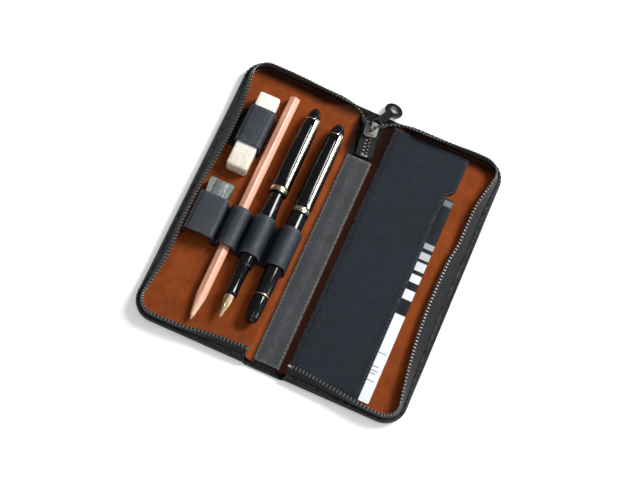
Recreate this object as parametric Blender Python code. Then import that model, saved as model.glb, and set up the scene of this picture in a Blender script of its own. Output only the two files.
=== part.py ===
"""A zippered pen case lying open, with two fountain pens, a pencil, an eraser, a sharpener and a ruler.

Frame: the origin is the middle of the spine's underside, +X points to the pocket half, +Y to the
end where the zip slider parks, +Z up. Sizes below are in millimetres. Each mesh is scaled to metres
when its object is made, and is measured from the empty that carries it, which sits on a joint's axis.
"""

import math

import bmesh
import bpy
from mathutils import Matrix, Vector

MM = 0.001
GAP = 0.3
SIDES = {"left": -1, "right": 1}

# Case
HALF_LENGTH = 99.5
HALF_SPAN = 92.0
CORNER_R = 15.0
HINGE_X = 11.0
HINGE_Z = 1.4
LEATHER = 1.4
BOARD_Z = (1.7, 2.7)
LINING_Z = (3.0, 3.8)
LINER_Z = (1.7, 2.3)
LINER_HALF_WIDTH = 8.8
LINER_Y = (-94.0, 63.3)
HINGE_GAP = 0.15
STACK_START = 1.5
STACK_INSET = 5.6

# Walls and zip, as heights and as insets from the outer edge
EDGE_HEIGHT = 1.55
COVER_HEIGHT = 7.0
RIM_START = 5.8
RIM_HEIGHT = 12.2
WALL_ENDS = (7.3, 3.2)
UPPER_RISE = (7.3, 14.0)
LOWER_RISE = (1.7, 1.5)
COVER_UPPER_RISE = (3.0, 16.0)
COVER_LOWER_RISE = (1.0, 3.0)
TAPE_INSET = (1.7, 2.3)
TEETH_INSET = (1.2, 2.8)
TEETH_DEPTH = 1.9
LINING_INSET = (3.4, 4.2)
LINING_START = 4.4
LINING_DROP = 6.2
LEAN_FROM = 3.0
LEAN_CURVE = 1.4
STOP_LENGTH = 1.4

# A half's edge runs from the spine along the upper side, round to the long side and back to the spine
TOP_RUN = HALF_SPAN - CORNER_R - HINGE_X
ARC_RUN = CORNER_R * math.pi / 2
EDGE_RUN = 2 * (TOP_RUN + ARC_RUN + HALF_LENGTH - CORNER_R)
SHORT_RUNS = (1.5, 3.2, 4.2, 5.2, 6.3, 7.3, 9.5, 13.0, 18.0, 25.0, 36.0, 50.0)

# How far each half's rim leans inwards, and how high it stands, as (place along the edge, value)
LEAN = {
    -1: ((0, 4.0), (14, 3.5), (29, 2.1), (44, 1.0), (60, 0.7), (72, 1.2), (90, 3.8), (113, 7.4), (133, 8.4),
         (153, 7.6), (173, 5.7), (183, 5.4), (210, 5.4), (226, 6.4), (242, 5.4), (259, 3.0), (274, 1.0), (290, 0.8),
         (304, 1.7), (319, 4.4), (334, 5.6), (348, 6.6)),
    1: ((0, 4.0), (14, 3.7), (29, 3.4), (44, 1.8), (60, 0.8), (72, 1.6), (90, 4.4), (113, 9.2), (133, 10.3),
        (142, 10.6), (156, 12.8), (173, 13.5), (192, 13.5), (212, 12.2), (232, 9.2), (247, 6.6), (259, 4.4),
        (274, 1.4), (290, 0.8), (304, 2.4), (319, 4.6), (334, 6.2), (348, 6.7)),
}
CREST = {
    -1: ((0, RIM_HEIGHT), (EDGE_RUN, RIM_HEIGHT)),
    1: ((0, RIM_HEIGHT), (100, RIM_HEIGHT), (113, 11.6), (133, 10.2), (153, 9.4), (173, 9.4), (212, 9.4),
        (232, 10.6), (250, RIM_HEIGHT), (EDGE_RUN, RIM_HEIGHT)),
}

# Zip slider, its tail on the spine, and its pull tab
SLIDER_AT = Vector((-0.6, 83.8, 6.2))
TAIL_END = Vector((1.6, 66.0, 3.2))
PLATE_HALF = (4.5, 5.4)
PLATE_Z = (1.2, 2.2)
SLOT_HALF = 0.55
ROW_X = (1.5, 3.0)
ROW_HALF_HEIGHT = 0.85
TAPE_X = (3.3, 5.4)
TAIL_FRONT = 2.0
PULL_PIVOT = (0.0, 1.9, 4.6)
PULL_HEAD_AT = Vector((7.8, 105.2))
PULL_SLOPE = math.radians(-19)
PULL_HEAD_R = 6.3
PULL_HOLE_R = 3.0
PULL_THICKNESS = 1.0

# Pens, measured along their axes from the nib's tip or from the cap's lip
PEN_AXIS_Z = 10.3
PEN_1_X = -38.0
PEN_2_X = -19.8
PEN_1_TIP_Y = -81.1
PEN_2_TIP_Y = 46.7
NIB_LENGTH = 15.8
SECTION_END = 37.0
BARREL_R = 5.6
SECTION_R = 4.5
TAIL_R = 4.6
CAP_R = 6.2
CAP_BORE_R = 5.1
CAP_LENGTHS = {"1": 68.0, "2": 71.9}
CAP_LIPS = {"1": 11.7, "2": 4.5}
CLIP_ANGLE = math.radians(30)
CLIP_R = (6.75, 7.6)
CLIP_HALF_WIDTH = 1.3
PISTON_Y = -56.0
PEN_2_END_Y = -76.3

# Other contents
PENCIL_X = -54.4
PENCIL_R = 4.0
PENCIL_Y = (-89.5, 81.5)
LEAD_R = 1.0
ERASER_X = -69.4
ERASER_SIZE = (14.4, 57.2, 11.0)
ERASER_Y = 16.3
SHARPENER_X = -73.2
SHARPENER_SIZE = (17.0, 26.0, 8.5)
SHARPENER_TOP_Y = 4.8
LOOP_THICKNESS = 1.3
LOOP_Y = (-36.5, -7.0)
ERASER_LOOP_Y = (33.5, 62.5)
RULER_X = (38.4, 68.4)
RULER_Y = (-92.0, 61.0)
RULER_Z = (4.1, 4.9)
PANEL_X = (14.5, 61.4)
PANEL_Y = (-93.6, 92.4)
PANEL_EAR = (66.8, 61.5, 66.5)
PANEL_Z = (5.2, 6.2)
SEAM = 1.4
REST_Z = LINING_Z[1] + GAP

# Colour, roughness, metallic
FINISHES = {
    "black_leather": ((0.022, 0.022, 0.026), 0.55, 0.0),
    "loop_leather": ((0.030, 0.036, 0.048), 0.50, 0.0),
    "spine_leather": ((0.075, 0.080, 0.085), 0.55, 0.0),
    "tan_lining": ((0.28, 0.085, 0.030), 0.75, 0.0),
    "board": ((0.35, 0.28, 0.20), 0.90, 0.0),
    "zip_tape": ((0.035, 0.035, 0.038), 0.85, 0.0),
    "zip_metal": ((0.62, 0.60, 0.57), 0.35, 1.0),
    "pull_metal": ((0.05, 0.05, 0.055), 0.40, 1.0),
    "pen_resin": ((0.010, 0.010, 0.012), 0.12, 0.0),
    "gold": ((0.83, 0.68, 0.40), 0.22, 1.0),
    "pencil_wood": ((0.72, 0.42, 0.29), 0.50, 0.0),
    "graphite": ((0.06, 0.06, 0.065), 0.45, 0.2),
    "eraser_vinyl": ((0.86, 0.84, 0.78), 0.60, 0.0),
    "sharpener_metal": ((0.55, 0.57, 0.56), 0.35, 1.0),
    "blade_steel": ((0.75, 0.75, 0.76), 0.20, 1.0),
    "ruler_plastic": ((0.85, 0.86, 0.86), 0.35, 0.0),
}


def clear_scene():
    for obj in list(bpy.data.objects):
        bpy.data.objects.remove(obj, do_unlink=True)


def finish(name):
    """The named material, made the first time that it is asked for."""
    found = bpy.data.materials.get(name)
    if found:
        return found
    colour, roughness, metallic = FINISHES[name]
    made = bpy.data.materials.new(name)
    made.use_nodes = True
    shader = made.node_tree.nodes["Principled BSDF"]
    shader.inputs["Base Color"].default_value = (*colour, 1.0)
    shader.inputs["Roughness"].default_value = roughness
    shader.inputs["Metallic"].default_value = metallic
    made.diffuse_color = (*colour, 1.0)
    return made


def joint_frame(name, anchor, parent=None):
    """An empty on a joint's axis: the pieces of one moving body hang on it."""
    empty = bpy.data.objects.new(name, None)
    bpy.context.collection.objects.link(empty)
    empty.parent = parent
    empty.location = Vector(anchor) * MM - world_place(parent)
    return empty


def world_place(obj):
    """Where an empty is, as the sum of the offsets up its chain of parents."""
    place = Vector()
    while obj:
        place += obj.location
        obj = obj.parent
    return place


def add_piece(name, shape, look, carrier, smooth=True):
    """Turn a shape drawn in world millimetres into an object carried by a joint's empty."""
    bmesh.ops.recalc_face_normals(shape, faces=shape.faces)
    offset = world_place(carrier)
    for vert in shape.verts:
        vert.co = vert.co * MM - offset
    mesh = bpy.data.meshes.new(name)
    shape.to_mesh(mesh)
    shape.free()
    if smooth:
        mesh.shade_smooth()
        mesh.set_sharp_from_angle(angle=math.radians(35))
    mesh.materials.append(finish(look))
    obj = bpy.data.objects.new(name, mesh)
    bpy.context.collection.objects.link(obj)
    obj.parent = carrier
    return obj


def cut_or_join(target, shape, operation, carrier):
    """Cut a shape from an object, or join it on, with a hidden helper object."""
    helper = add_piece(f"{target.name}_helper_{len(target.modifiers)}", shape, "board", carrier, smooth=False)
    helper.hide_render = True
    helper.display_type = "WIRE"
    change = target.modifiers.new(operation.lower(), "BOOLEAN")
    change.operation = operation
    change.object = helper


def block(low, high):
    """An axis-aligned box between two corners."""
    shape = bmesh.new()
    size = [b - a for a, b in zip(low, high)]
    middle = [(a + b) / 2 for a, b in zip(low, high)]
    bmesh.ops.create_cube(shape, size=1.0, matrix=Matrix.Translation(middle) @ Matrix.Diagonal((*size, 1)))
    return shape


def soft_block(low, high, radius):
    """A box with rounded edges."""
    shape = block(low, high)
    bmesh.ops.bevel(shape, geom=shape.edges[:], offset=radius, segments=2, profile=0.5, affect="EDGES")
    return shape


def prism(outline, direction):
    """Extrude a closed outline of 3-D points along a vector."""
    shape = bmesh.new()
    face = shape.faces.new([shape.verts.new(point) for point in outline])
    grown = bmesh.ops.extrude_face_region(shape, geom=[face])
    moved = [item for item in grown["geom"] if isinstance(item, bmesh.types.BMVert)]
    bmesh.ops.translate(shape, verts=moved, vec=direction)
    return shape


def turned(profile, x, z, sides=18, hollow=False):
    """Spin a profile of (y, radius) points about a line along Y. A hollow profile is a closed ring."""
    shape = bmesh.new()
    points = [shape.verts.new((x, y, z + radius)) for y, radius in profile]
    pairs = list(zip(points, points[1:]))
    if hollow:
        pairs.append((points[-1], points[0]))
    edges = [shape.edges.new(pair) for pair in pairs]
    bmesh.ops.spin(shape, geom=points + edges, cent=(x, 0, z), axis=(0, 1, 0),
                   angle=math.tau, steps=sides, use_merge=True, use_duplicate=False)
    bmesh.ops.remove_doubles(shape, verts=shape.verts[:], dist=0.001)
    return shape


def loft(rings, closed_rings=True):
    """Join rings of points with quads. Closed rings get end caps; open ones are returned uncapped."""
    shape = bmesh.new()
    rows = [[shape.verts.new(point) for point in ring] for ring in rings]
    for row, following in zip(rows, rows[1:]):
        count = len(row) if closed_rings else len(row) - 1
        for k in range(count):
            j = (k + 1) % len(row)
            shape.faces.new((row[k], row[j], following[j], following[k]))
    if closed_rings:
        shape.faces.new(rows[0])
        shape.faces.new(list(reversed(rows[-1])))
    return shape, rows


# ---------------------------------------------------------------- the case's walls

def ease(value):
    """A smooth step from 0 to 1."""
    value = min(max(value, 0.0), 1.0)
    return value * value * (3 - 2 * value)


def through(knots, at):
    """A smooth curve through (place, value) knots, level at both ends."""
    last = len(knots) - 1
    k = next((i for i in range(last) if at <= knots[i + 1][0]), last - 1)

    def slope(i):
        if i in (0, last):
            return 0.0
        return (knots[i + 1][1] - knots[i - 1][1]) / (knots[i + 1][0] - knots[i - 1][0])

    span = knots[k + 1][0] - knots[k][0]
    t = min(max((at - knots[k][0]) / span, 0.0), 1.0)
    share = ease(t)
    bend = t * (1 - t) * span * ((1 - t) * slope(k) - t * slope(k + 1))
    return knots[k][1] * (1 - share) + knots[k + 1][1] * share + bend


def edge_place(run, side):
    """A place on a half's outer edge, as if on the right half, with its inward direction, lean and crest."""
    short = min(run, EDGE_RUN - run)
    corner_x, corner_y = HALF_SPAN - CORNER_R, HALF_LENGTH - CORNER_R
    if short <= TOP_RUN:
        x, y, nx, ny = HINGE_X + short, HALF_LENGTH, 0.0, -1.0
    elif short <= TOP_RUN + ARC_RUN:
        turn = math.pi / 2 - (short - TOP_RUN) / CORNER_R
        nx, ny = -math.cos(turn), -math.sin(turn)
        x, y = corner_x - CORNER_R * nx, corner_y - CORNER_R * ny
    else:
        x, y, nx, ny = HALF_SPAN, corner_y - (short - TOP_RUN - ARC_RUN), -1.0, 0.0
    if short != run:
        y, ny = -y, -ny
    return {"x": x, "y": y, "nx": nx, "ny": ny, "from_hinge": x - HINGE_X,
            "lean": through(LEAN[side], run), "crest": through(CREST[side], run)}


def edge_stations(start, end, side):
    """Places round a half's edge, from start past the upper hinge to end short of the lower one."""
    def short_side(first):
        return [first] + [run for run in SHORT_RUNS if run > first + 0.5] + [TOP_RUN]
    arc = [TOP_RUN + ARC_RUN * k / 6 for k in range(1, 7)]
    long_side = EDGE_RUN - 2 * arc[-1]
    runs = short_side(start) + arc + [arc[-1] + long_side * k / 14 for k in range(1, 14)]
    runs += [EDGE_RUN - run for run in reversed(short_side(end) + arc)]
    return [edge_place(run, side) for run in runs]


def wall_point(place, inset, z, side):
    """A point in the wall. The wall leans inwards more the higher it is."""
    share = min(max((z - LEAN_FROM) / (place["crest"] - LEAN_FROM), 0.0), 1.0) ** LEAN_CURVE
    depth = inset + place["lean"] * share
    return (side * (place["x"] + place["nx"] * depth), place["y"] + place["ny"] * depth, z)


def rise(place, upper, lower):
    """How far a wall has risen from the hinge, from 0 to 1: slowly beside the slider, steeply at the other end."""
    start, length = upper if place["y"] > 0 else lower
    return ease((place["from_hinge"] - start) / length)


def cover_height(place):
    high = COVER_HEIGHT * place["crest"] / RIM_HEIGHT
    return EDGE_HEIGHT + (high - EDGE_HEIGHT) * rise(place, COVER_UPPER_RISE, COVER_LOWER_RISE)


def rim_height(place):
    return RIM_START + (place["crest"] - RIM_START) * rise(place, UPPER_RISE, LOWER_RISE)


def lining_height(place):
    high = place["crest"] - LINING_DROP
    return LINING_START + (high - LINING_START) * rise(place, UPPER_RISE, LOWER_RISE)


def cover_section(place):
    """The leather from its underside, round the bottom edge and up, then down inside to the floor."""
    top = cover_height(place)
    depth = top - LEATHER
    return [(4.0, 0.0), (1.5, 0.11 * top), (0.35, 0.31 * top), (0.0, 0.6 * top), (0.0, 0.8 * top), (0.0, top),
            (LEATHER, top), (LEATHER, LEATHER + 0.72 * depth), (LEATHER, LEATHER + 0.45 * depth),
            (2.1, LEATHER + 0.16 * depth), (4.6, LEATHER)]


def lining_section(place):
    """The lining from its underside, up the wall's outer face and down its inner face to the floor."""
    top = lining_height(place)
    low, high = LINING_Z
    outer, inner = LINING_INSET
    return [(STACK_INSET, low), (outer + 0.4, low + 0.2), (outer, low + 1.0), (outer, top),
            (inner, top), (inner, high + 0.6), (STACK_INSET, high)]


def strip_section(insets, low, high, levels):
    """A closed upright strip, with enough levels to follow the wall's lean."""
    heights = [low + (high - low) * k / levels for k in range(levels + 1)]
    outside = [(insets[0], z) for z in heights]
    inside = [(insets[1], z) for z in reversed(heights)]
    return outside + inside


def tape_section(place):
    low = 2.6 + 1.8 * rise(place, UPPER_RISE, COVER_LOWER_RISE)
    return strip_section(TAPE_INSET, low, rim_height(place) - TEETH_DEPTH - GAP, 3)


def teeth_section(place):
    top = rim_height(place)
    return strip_section(TEETH_INSET, top - TEETH_DEPTH, top, 1)


def pan(section, start, side):
    """A tray half: its edge runs round three sides, and its end at the hinge is flat."""
    places = edge_stations(start, start, side)
    rings = [[wall_point(place, inset, z, side) for inset, z in section(place)] for place in places]
    shape, rows = loft(rings, closed_rings=False)
    shape.faces.new([row[0] for row in rows])
    shape.faces.new([row[-1] for row in reversed(rows)])
    shape.faces.new(rows[0] + list(reversed(rows[-1])))
    return shape


def edge_strip(section, side):
    """A strip that stands along the edge of a half, from the end of its zip to the other."""
    places = edge_stations(*WALL_ENDS, side)
    rings = [[wall_point(place, inset, z, side) for inset, z in section(place)] for place in places]
    return loft(rings)[0]


def stop_shape(side):
    """The end stop of a tooth chain, at the bottom end of the spine."""
    first = edge_stations(*WALL_ENDS, side)[-1]
    near = dict(first, x=first["x"] - GAP)
    far = dict(first, x=first["x"] - GAP - STOP_LENGTH)
    rings = [[wall_point(place, inset, z, side) for inset, z in teeth_section(first)] for place in (near, far)]
    return loft(rings)[0]


def board_shape(side):
    """The stiff board inside a half, a plate with two round corners."""
    places = edge_stations(STACK_START, STACK_START, side)
    outline = [wall_point(place, STACK_INSET, BOARD_Z[0], side) for place in places]
    return prism(outline, (0, 0, BOARD_Z[1] - BOARD_Z[0]))


def spine_cover_shape():
    """The leather between the two hinges, with the same edges as the halves have there."""
    half = HINGE_X - HINGE_GAP
    end = edge_place(HINGE_GAP, 1)
    section = [wall_point(end, inset, z, 1)[1:] for inset, z in cover_section(end)]
    mirrored = [(-y, z) for y, z in reversed(section)]
    outline = [(-half, y, z) for y, z in section + mirrored]
    return prism(outline, (2 * half, 0, 0))


def make_spine(carrier):
    add_piece("spine_cover", spine_cover_shape(), "black_leather", carrier)
    low = (-LINER_HALF_WIDTH, LINER_Y[0], LINER_Z[0])
    high = (LINER_HALF_WIDTH, LINER_Y[1], LINER_Z[1])
    add_piece("spine_liner", block(low, high), "spine_leather", carrier)


def make_half(name, carrier):
    side = SIDES[name]
    add_piece(f"{name}_cover", pan(cover_section, HINGE_GAP, side), "black_leather", carrier)
    add_piece(f"{name}_board", board_shape(side), "board", carrier)
    add_piece(f"{name}_lining", pan(lining_section, STACK_START, side), "tan_lining", carrier)
    add_piece(f"{name}_tape", edge_strip(tape_section, side), "zip_tape", carrier)
    add_piece(f"{name}_teeth", edge_strip(teeth_section, side), "zip_metal", carrier)
    add_piece(f"{name}_top_stop", stop_shape(side), "zip_metal", carrier)


# ---------------------------------------------------------------- the zip slider and its tail

def slider_matrix():
    """The slider's own frame: Y runs up the zip's tail towards the case's end, Z away from the spine."""
    along = (SLIDER_AT - TAIL_END).normalized()
    across = along.cross(Vector((0, 0, 1))).normalized()
    up = across.cross(along)
    turn = Matrix((across, along, up)).transposed().to_4x4()
    return Matrix.Translation(SLIDER_AT) @ turn


def placed(shape, matrix):
    """Move a shape from a piece's own frame to the case's."""
    bmesh.ops.transform(shape, matrix=matrix, verts=shape.verts[:])
    return shape


def tail_length():
    return (SLIDER_AT - TAIL_END).length


def make_tail(carrier):
    """Two tapes with their tooth rows, which run down from the slider to a stop on the spine."""
    frame = slider_matrix()
    end = -tail_length()
    for name, side in SIDES.items():
        near, far = sorted((side * TAPE_X[0], side * TAPE_X[1]))
        tape = block((near, end, -0.25), (far, TAIL_FRONT, 0.25))
        add_piece(f"tail_tape_{name}", placed(tape, frame), "zip_tape", carrier)
        near, far = sorted((side * ROW_X[0], side * ROW_X[1]))
        row = block((near, end, -ROW_HALF_HEIGHT), (far, TAIL_FRONT, ROW_HALF_HEIGHT))
        add_piece(f"tail_teeth_{name}", placed(row, frame), "zip_metal", carrier)
    stop = soft_block((-3.4, end - 1.8, -1.1), (3.4, end - GAP, 1.1), 0.3)
    add_piece("tail_end_stop", placed(stop, frame), "zip_metal", carrier)


def plate_shape(side):
    """One plate of the slider, a channel with lips along its sides. side is 1 for the top plate."""
    half, reach = PLATE_HALF
    inner, outer = PLATE_Z
    lip = half - 1.1
    section = [(-half, outer), (half, outer), (half, SLOT_HALF), (lip, SLOT_HALF), (lip, inner),
               (-lip, inner), (-lip, SLOT_HALF), (-half, SLOT_HALF)]
    return prism([(x, -reach, side * z) for x, z in section], (0, 2 * reach, 0))


def shield_shape():
    """The slider's outline from above, with its corners cut off so that the tab can lie down."""
    half, reach = PLATE_HALF
    right = [(half - 1.0, -reach), (half, 1.0 - reach), (half, reach - 2.2), (half - 1.9, reach)]
    outline = right + [(-x, y) for x, y in reversed(right)]
    return prism([(x, y, -PLATE_Z[1] - 1) for x, y in outline], (0, 0, 2 * PLATE_Z[1] + 2))


def crown_shape():
    """The bridge on the slider's top plate that the pull tab hangs on."""
    base = PLATE_Z[1] - 0.1
    outline = [(-1.9, base), (-1.9, 5.6), (-1.1, 6.4), (3.6, 6.4), (4.4, 5.6), (4.4, base),
               (3.5, base), (3.5, 5.4), (-0.9, 5.4), (-0.9, base)]
    return prism([(-0.9, y, z) for y, z in outline], (1.8, 0, 0))


def make_slider(carrier):
    frame = slider_matrix()
    body = add_piece("slider_body", placed(plate_shape(1), frame), "zip_metal", carrier)
    post = block((-1.1, 1.6, -PLATE_Z[0] - 0.1), (1.1, 5.0, PLATE_Z[0] + 0.1))
    cut_or_join(body, placed(plate_shape(-1), frame), "UNION", carrier)
    cut_or_join(body, placed(post, frame), "UNION", carrier)
    cut_or_join(body, placed(shield_shape(), frame), "INTERSECT", carrier)
    cut_or_join(body, placed(crown_shape(), frame), "UNION", carrier)


def pull_pivot():
    return slider_matrix() @ Vector(PULL_PIVOT)


def pull_matrix():
    """The tab's own frame: X runs from its pivot to its head, Z is its thickness."""
    pivot = pull_pivot()
    level = (PULL_HEAD_AT - pivot.to_2d()).normalized()
    along = Vector((level.x * math.cos(PULL_SLOPE), level.y * math.cos(PULL_SLOPE), math.sin(PULL_SLOPE)))
    across = Vector((0, 0, 1)).cross(along).normalized()
    turn = Matrix((along, across, along.cross(across))).transposed().to_4x4()
    return Matrix.Translation(pivot) @ turn


def pull_reach():
    """How far the middle of the tab's head is from its pivot, along the tab."""
    return (PULL_HEAD_AT - pull_pivot().to_2d()).length / math.cos(PULL_SLOPE)


def disc(x, radius, half_height, sides):
    shape = bmesh.new()
    bmesh.ops.create_cone(shape, cap_ends=True, segments=sides, radius1=radius, radius2=radius,
                          depth=2 * half_height, matrix=Matrix.Translation((x, 0, 0)))
    return shape


def tab_shape():
    """The tab's outline: a straight root and neck that flare into a round head."""
    head = pull_reach()
    half = PULL_THICKNESS / 2
    root = [(-0.5, -3.2), (5.5, -3.2), (9.0, -2.5)]
    start = math.radians(150)
    rounds = [-start + 2 * start * k / 16 for k in range(17)]
    cap = [(head + PULL_HEAD_R * math.cos(turn), PULL_HEAD_R * math.sin(turn)) for turn in rounds]
    outline = root + cap + [(x, -y) for x, y in reversed(root)]
    return prism([(x, y, -half) for x, y in outline], (0, 0, PULL_THICKNESS))


def ring_shape():
    """The bright ring in the tab's head, a band with a round hole."""
    head = pull_reach()
    profile = [(-0.9, 1.8), (-0.9, 2.5), (0.9, 2.5), (0.9, 1.8)]
    shape = turned(profile, 0, 0, sides=18, hollow=True)
    stand_up = Matrix.Rotation(math.radians(90), 4, "X")
    return placed(shape, Matrix.Translation((head, 0, 0)) @ stand_up)


def make_pull(carrier):
    frame = pull_matrix()
    tab = add_piece("pull_tab", placed(tab_shape(), frame), "pull_metal", carrier)
    window = block((0.5, -2.2, -2), (6.4, 2.2, 2))
    cut_or_join(tab, placed(window, frame), "DIFFERENCE", carrier)
    hole = disc(pull_reach(), PULL_HOLE_R, 2, 20)
    cut_or_join(tab, placed(hole, frame), "DIFFERENCE", carrier)
    add_piece("pull_ring", placed(ring_shape(), frame), "zip_metal", carrier)


# ---------------------------------------------------------------- leather loops and the pocket

def arch(x, half, top, corner, low):
    """The path of a strap over an item: up, round, across, round and down."""
    path = [(x - half, low)]
    for centre, first in ((x - half + corner, 180), (x + half - corner, 90)):
        for k in range(5):
            turn = math.radians(first - 22.5 * k)
            path.append((centre + corner * math.cos(turn), top - corner + corner * math.sin(turn)))
    path.append((x + half, low))
    return path


def make_loop(name, carrier, x, span, half, top, corner, flanges):
    """A strap over one item, with flat flanges that are sewn to the lining on both sides."""
    thick = LOOP_THICKNESS
    inner = arch(x, half, top, corner, REST_Z)
    outer = arch(x, half + thick, top + thick, corner + thick, REST_Z + thick)
    left, right = flanges
    foot_left = [(x - half - thick - left, REST_Z), (x - half - thick - left, REST_Z + thick)]
    foot_right = [(x + half + thick + right, REST_Z + thick), (x + half + thick + right, REST_Z)]
    outline = foot_left + outer + foot_right + list(reversed(inner))
    shape = prism([(px, span[0], pz) for px, pz in outline], (0, span[1] - span[0], 0))
    bmesh.ops.remove_doubles(shape, verts=shape.verts[:], dist=0.001)
    add_piece(name, shape, "loop_leather", carrier)


def make_loops(carrier):
    pen_half = BARREL_R + 0.4
    pen_top = PEN_AXIS_Z + pen_half
    make_loop("eraser_loop", carrier, ERASER_X, ERASER_LOOP_Y, 7.6, 15.6, 2.0, (3.9, 0.6))
    make_loop("sharpener_loop", carrier, SHARPENER_X, LOOP_Y, 8.9, 13.8, 2.0, (0.3, 0.4))
    make_loop("pencil_loop", carrier, PENCIL_X, LOOP_Y, 6.0, 13.2, 5.2, (0.4, 0.9))
    make_loop("pen_loop_1", carrier, PEN_1_X, LOOP_Y, pen_half, pen_top, pen_half, (0.5, 1.6))
    make_loop("pen_loop_2", carrier, PEN_2_X, LOOP_Y, pen_half, pen_top, pen_half, (1.7, 0.1))


def make_pocket(carrier):
    """The pocket panel, sewn down along three edges and open towards the case's long side."""
    spine_x, open_x = PANEL_X
    low_y, high_y = PANEL_Y
    ear_x, ear_low, ear_high = PANEL_EAR
    corners = [(spine_x, low_y), (open_x, low_y), (open_x, ear_low), (ear_x, ear_high), (ear_x, high_y), (spine_x, high_y)]
    leather = prism([(x, y, REST_Z) for x, y in corners], (0, 0, PANEL_Z[1] - REST_Z))
    panel = add_piece("pocket_panel", leather, "loop_leather", carrier)
    inside = block((spine_x + SEAM, low_y + SEAM - GAP, 0), (ear_x + SEAM, high_y - SEAM, PANEL_Z[0]))
    cut_or_join(panel, inside, "DIFFERENCE", carrier)


# ---------------------------------------------------------------- fountain pens

def make_nib(name, carrier, x, tip_y, way):
    """A tapered, arched plate. way is +1 when the pen's tail lies towards +Y."""
    rings = []
    for k in range(8):
        share = k / 7
        y = tip_y + way * NIB_LENGTH * (1 - share)
        half_width = 3.1 * (1 - share) ** 0.8 + 0.35
        drop = 2.7 * share
        spread = math.asin(half_width / 3.6)
        turns = [spread * (j / 3 - 1) for j in range(7)]
        outside = [(x + 3.6 * math.sin(t), y, PEN_AXIS_Z - drop + 3.6 * math.cos(t)) for t in turns]
        inside = [(x + 3.1 * math.sin(t), y, PEN_AXIS_Z - drop + 3.1 * math.cos(t)) for t in reversed(turns)]
        rings.append(outside + inside)
    add_piece(name, loft(rings)[0], "gold", carrier)


def make_pen_front(number, carrier, x, tip_y, way):
    """The nib, the feed under it and the grip section, named with the pen's number."""
    def at(distance):
        return tip_y + way * distance
    make_nib(f"nib_{number}", carrier, x, tip_y, way)
    feed = [(at(3.2), 0), (at(3.2), 0.3), (at(NIB_LENGTH - 0.4), 2.6), (at(NIB_LENGTH), 2.6), (at(NIB_LENGTH), 0)]
    add_piece(f"feed_{number}", turned(feed, x, PEN_AXIS_Z - 0.3, 12), "pen_resin", carrier)
    start = NIB_LENGTH + GAP
    grip = [(at(start), 0), (at(start), 4.1), (at(start + 1.5), 4.3), (at(start + 8), 3.9),
            (at(SECTION_END), SECTION_R), (at(SECTION_END), 0)]
    add_piece(f"section_{number}", turned(grip, x, PEN_AXIS_Z), "pen_resin", carrier)


def make_pen_1(carrier):
    x = PEN_1_X
    make_pen_front("1", carrier, x, PEN_1_TIP_Y, 1)
    front = PEN_1_TIP_Y + SECTION_END + GAP
    lip = CAP_LIPS["1"]
    barrel = [(front, 0), (front, 4.9), (front + 1.2, 5.3), (-20, BARREL_R), (-4, 5.5), (lip - 1, TAIL_R),
              (38, TAIL_R), (41, 3.4), (42, 0)]
    add_piece("barrel_1", turned(barrel, x, PEN_AXIS_Z), "pen_resin", carrier)


def make_pen_2(carrier):
    x = PEN_2_X
    make_pen_front("2", carrier, x, PEN_2_TIP_Y, -1)
    front = PEN_2_TIP_Y - SECTION_END - GAP
    shoulder = CAP_LIPS["2"] - GAP
    barrel = [(front, 0), (front, TAIL_R), (shoulder, TAIL_R), (shoulder, BARREL_R), (-20, BARREL_R),
              (PISTON_Y, 5.1), (PISTON_Y, 0)]
    add_piece("barrel_2", turned(barrel, x, PEN_AXIS_Z), "pen_resin", carrier)
    first = PISTON_Y - GAP
    ring = [(first, 0), (first, 5.2), (first - 1.0, 5.2), (first - 1.0, 0)]
    add_piece("tail_ring_2", turned(ring, x, PEN_AXIS_Z), "zip_metal", carrier)


def make_knob(carrier):
    top = PISTON_Y - 2 * GAP - 1.0
    knob = [(top, 0), (top, 5.0), (top - 12, 4.6), (PEN_2_END_Y + 2, 3.9), (PEN_2_END_Y + 0.5, 2.6),
            (PEN_2_END_Y, 0)]
    add_piece("piston_knob_2", turned(knob, PEN_2_X, PEN_AXIS_Z), "pen_resin", carrier)


def clip_turn(x):
    """Turns a piece about a pen's axis, from straight up to where its clip lies."""
    centre = Matrix.Translation((x, 0, PEN_AXIS_Z))
    return centre @ Matrix.Rotation(CLIP_ANGLE, 4, "Y") @ centre.inverted()


def make_clip(number, carrier, x, lip):
    """A spring clip on a washer that sits between the cap and its finial."""
    seat = lip + CAP_LENGTHS[number] - 9.9
    washer = [(seat, 0), (seat, 4.9), (seat + 0.8, 4.9), (seat + 0.8, 0)]
    clip = add_piece(f"clip_{number}", turned(washer, x, PEN_AXIS_Z), "gold", carrier)
    low, high = CLIP_R
    z = PEN_AXIS_Z
    side = [(seat, 3.0), (seat, low), (lip + 6, low), (lip + 5, low - 0.2), (lip + 3.6, low), (lip + 3.6, high),
            (seat, high), (seat + 0.8, high - 0.3), (seat + 0.8, 3.0)]
    bar = prism([(x - CLIP_HALF_WIDTH, y, z + r) for y, r in side], (2 * CLIP_HALF_WIDTH, 0, 0))
    cut_or_join(clip, placed(bar, clip_turn(x)), "UNION", carrier)


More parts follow.
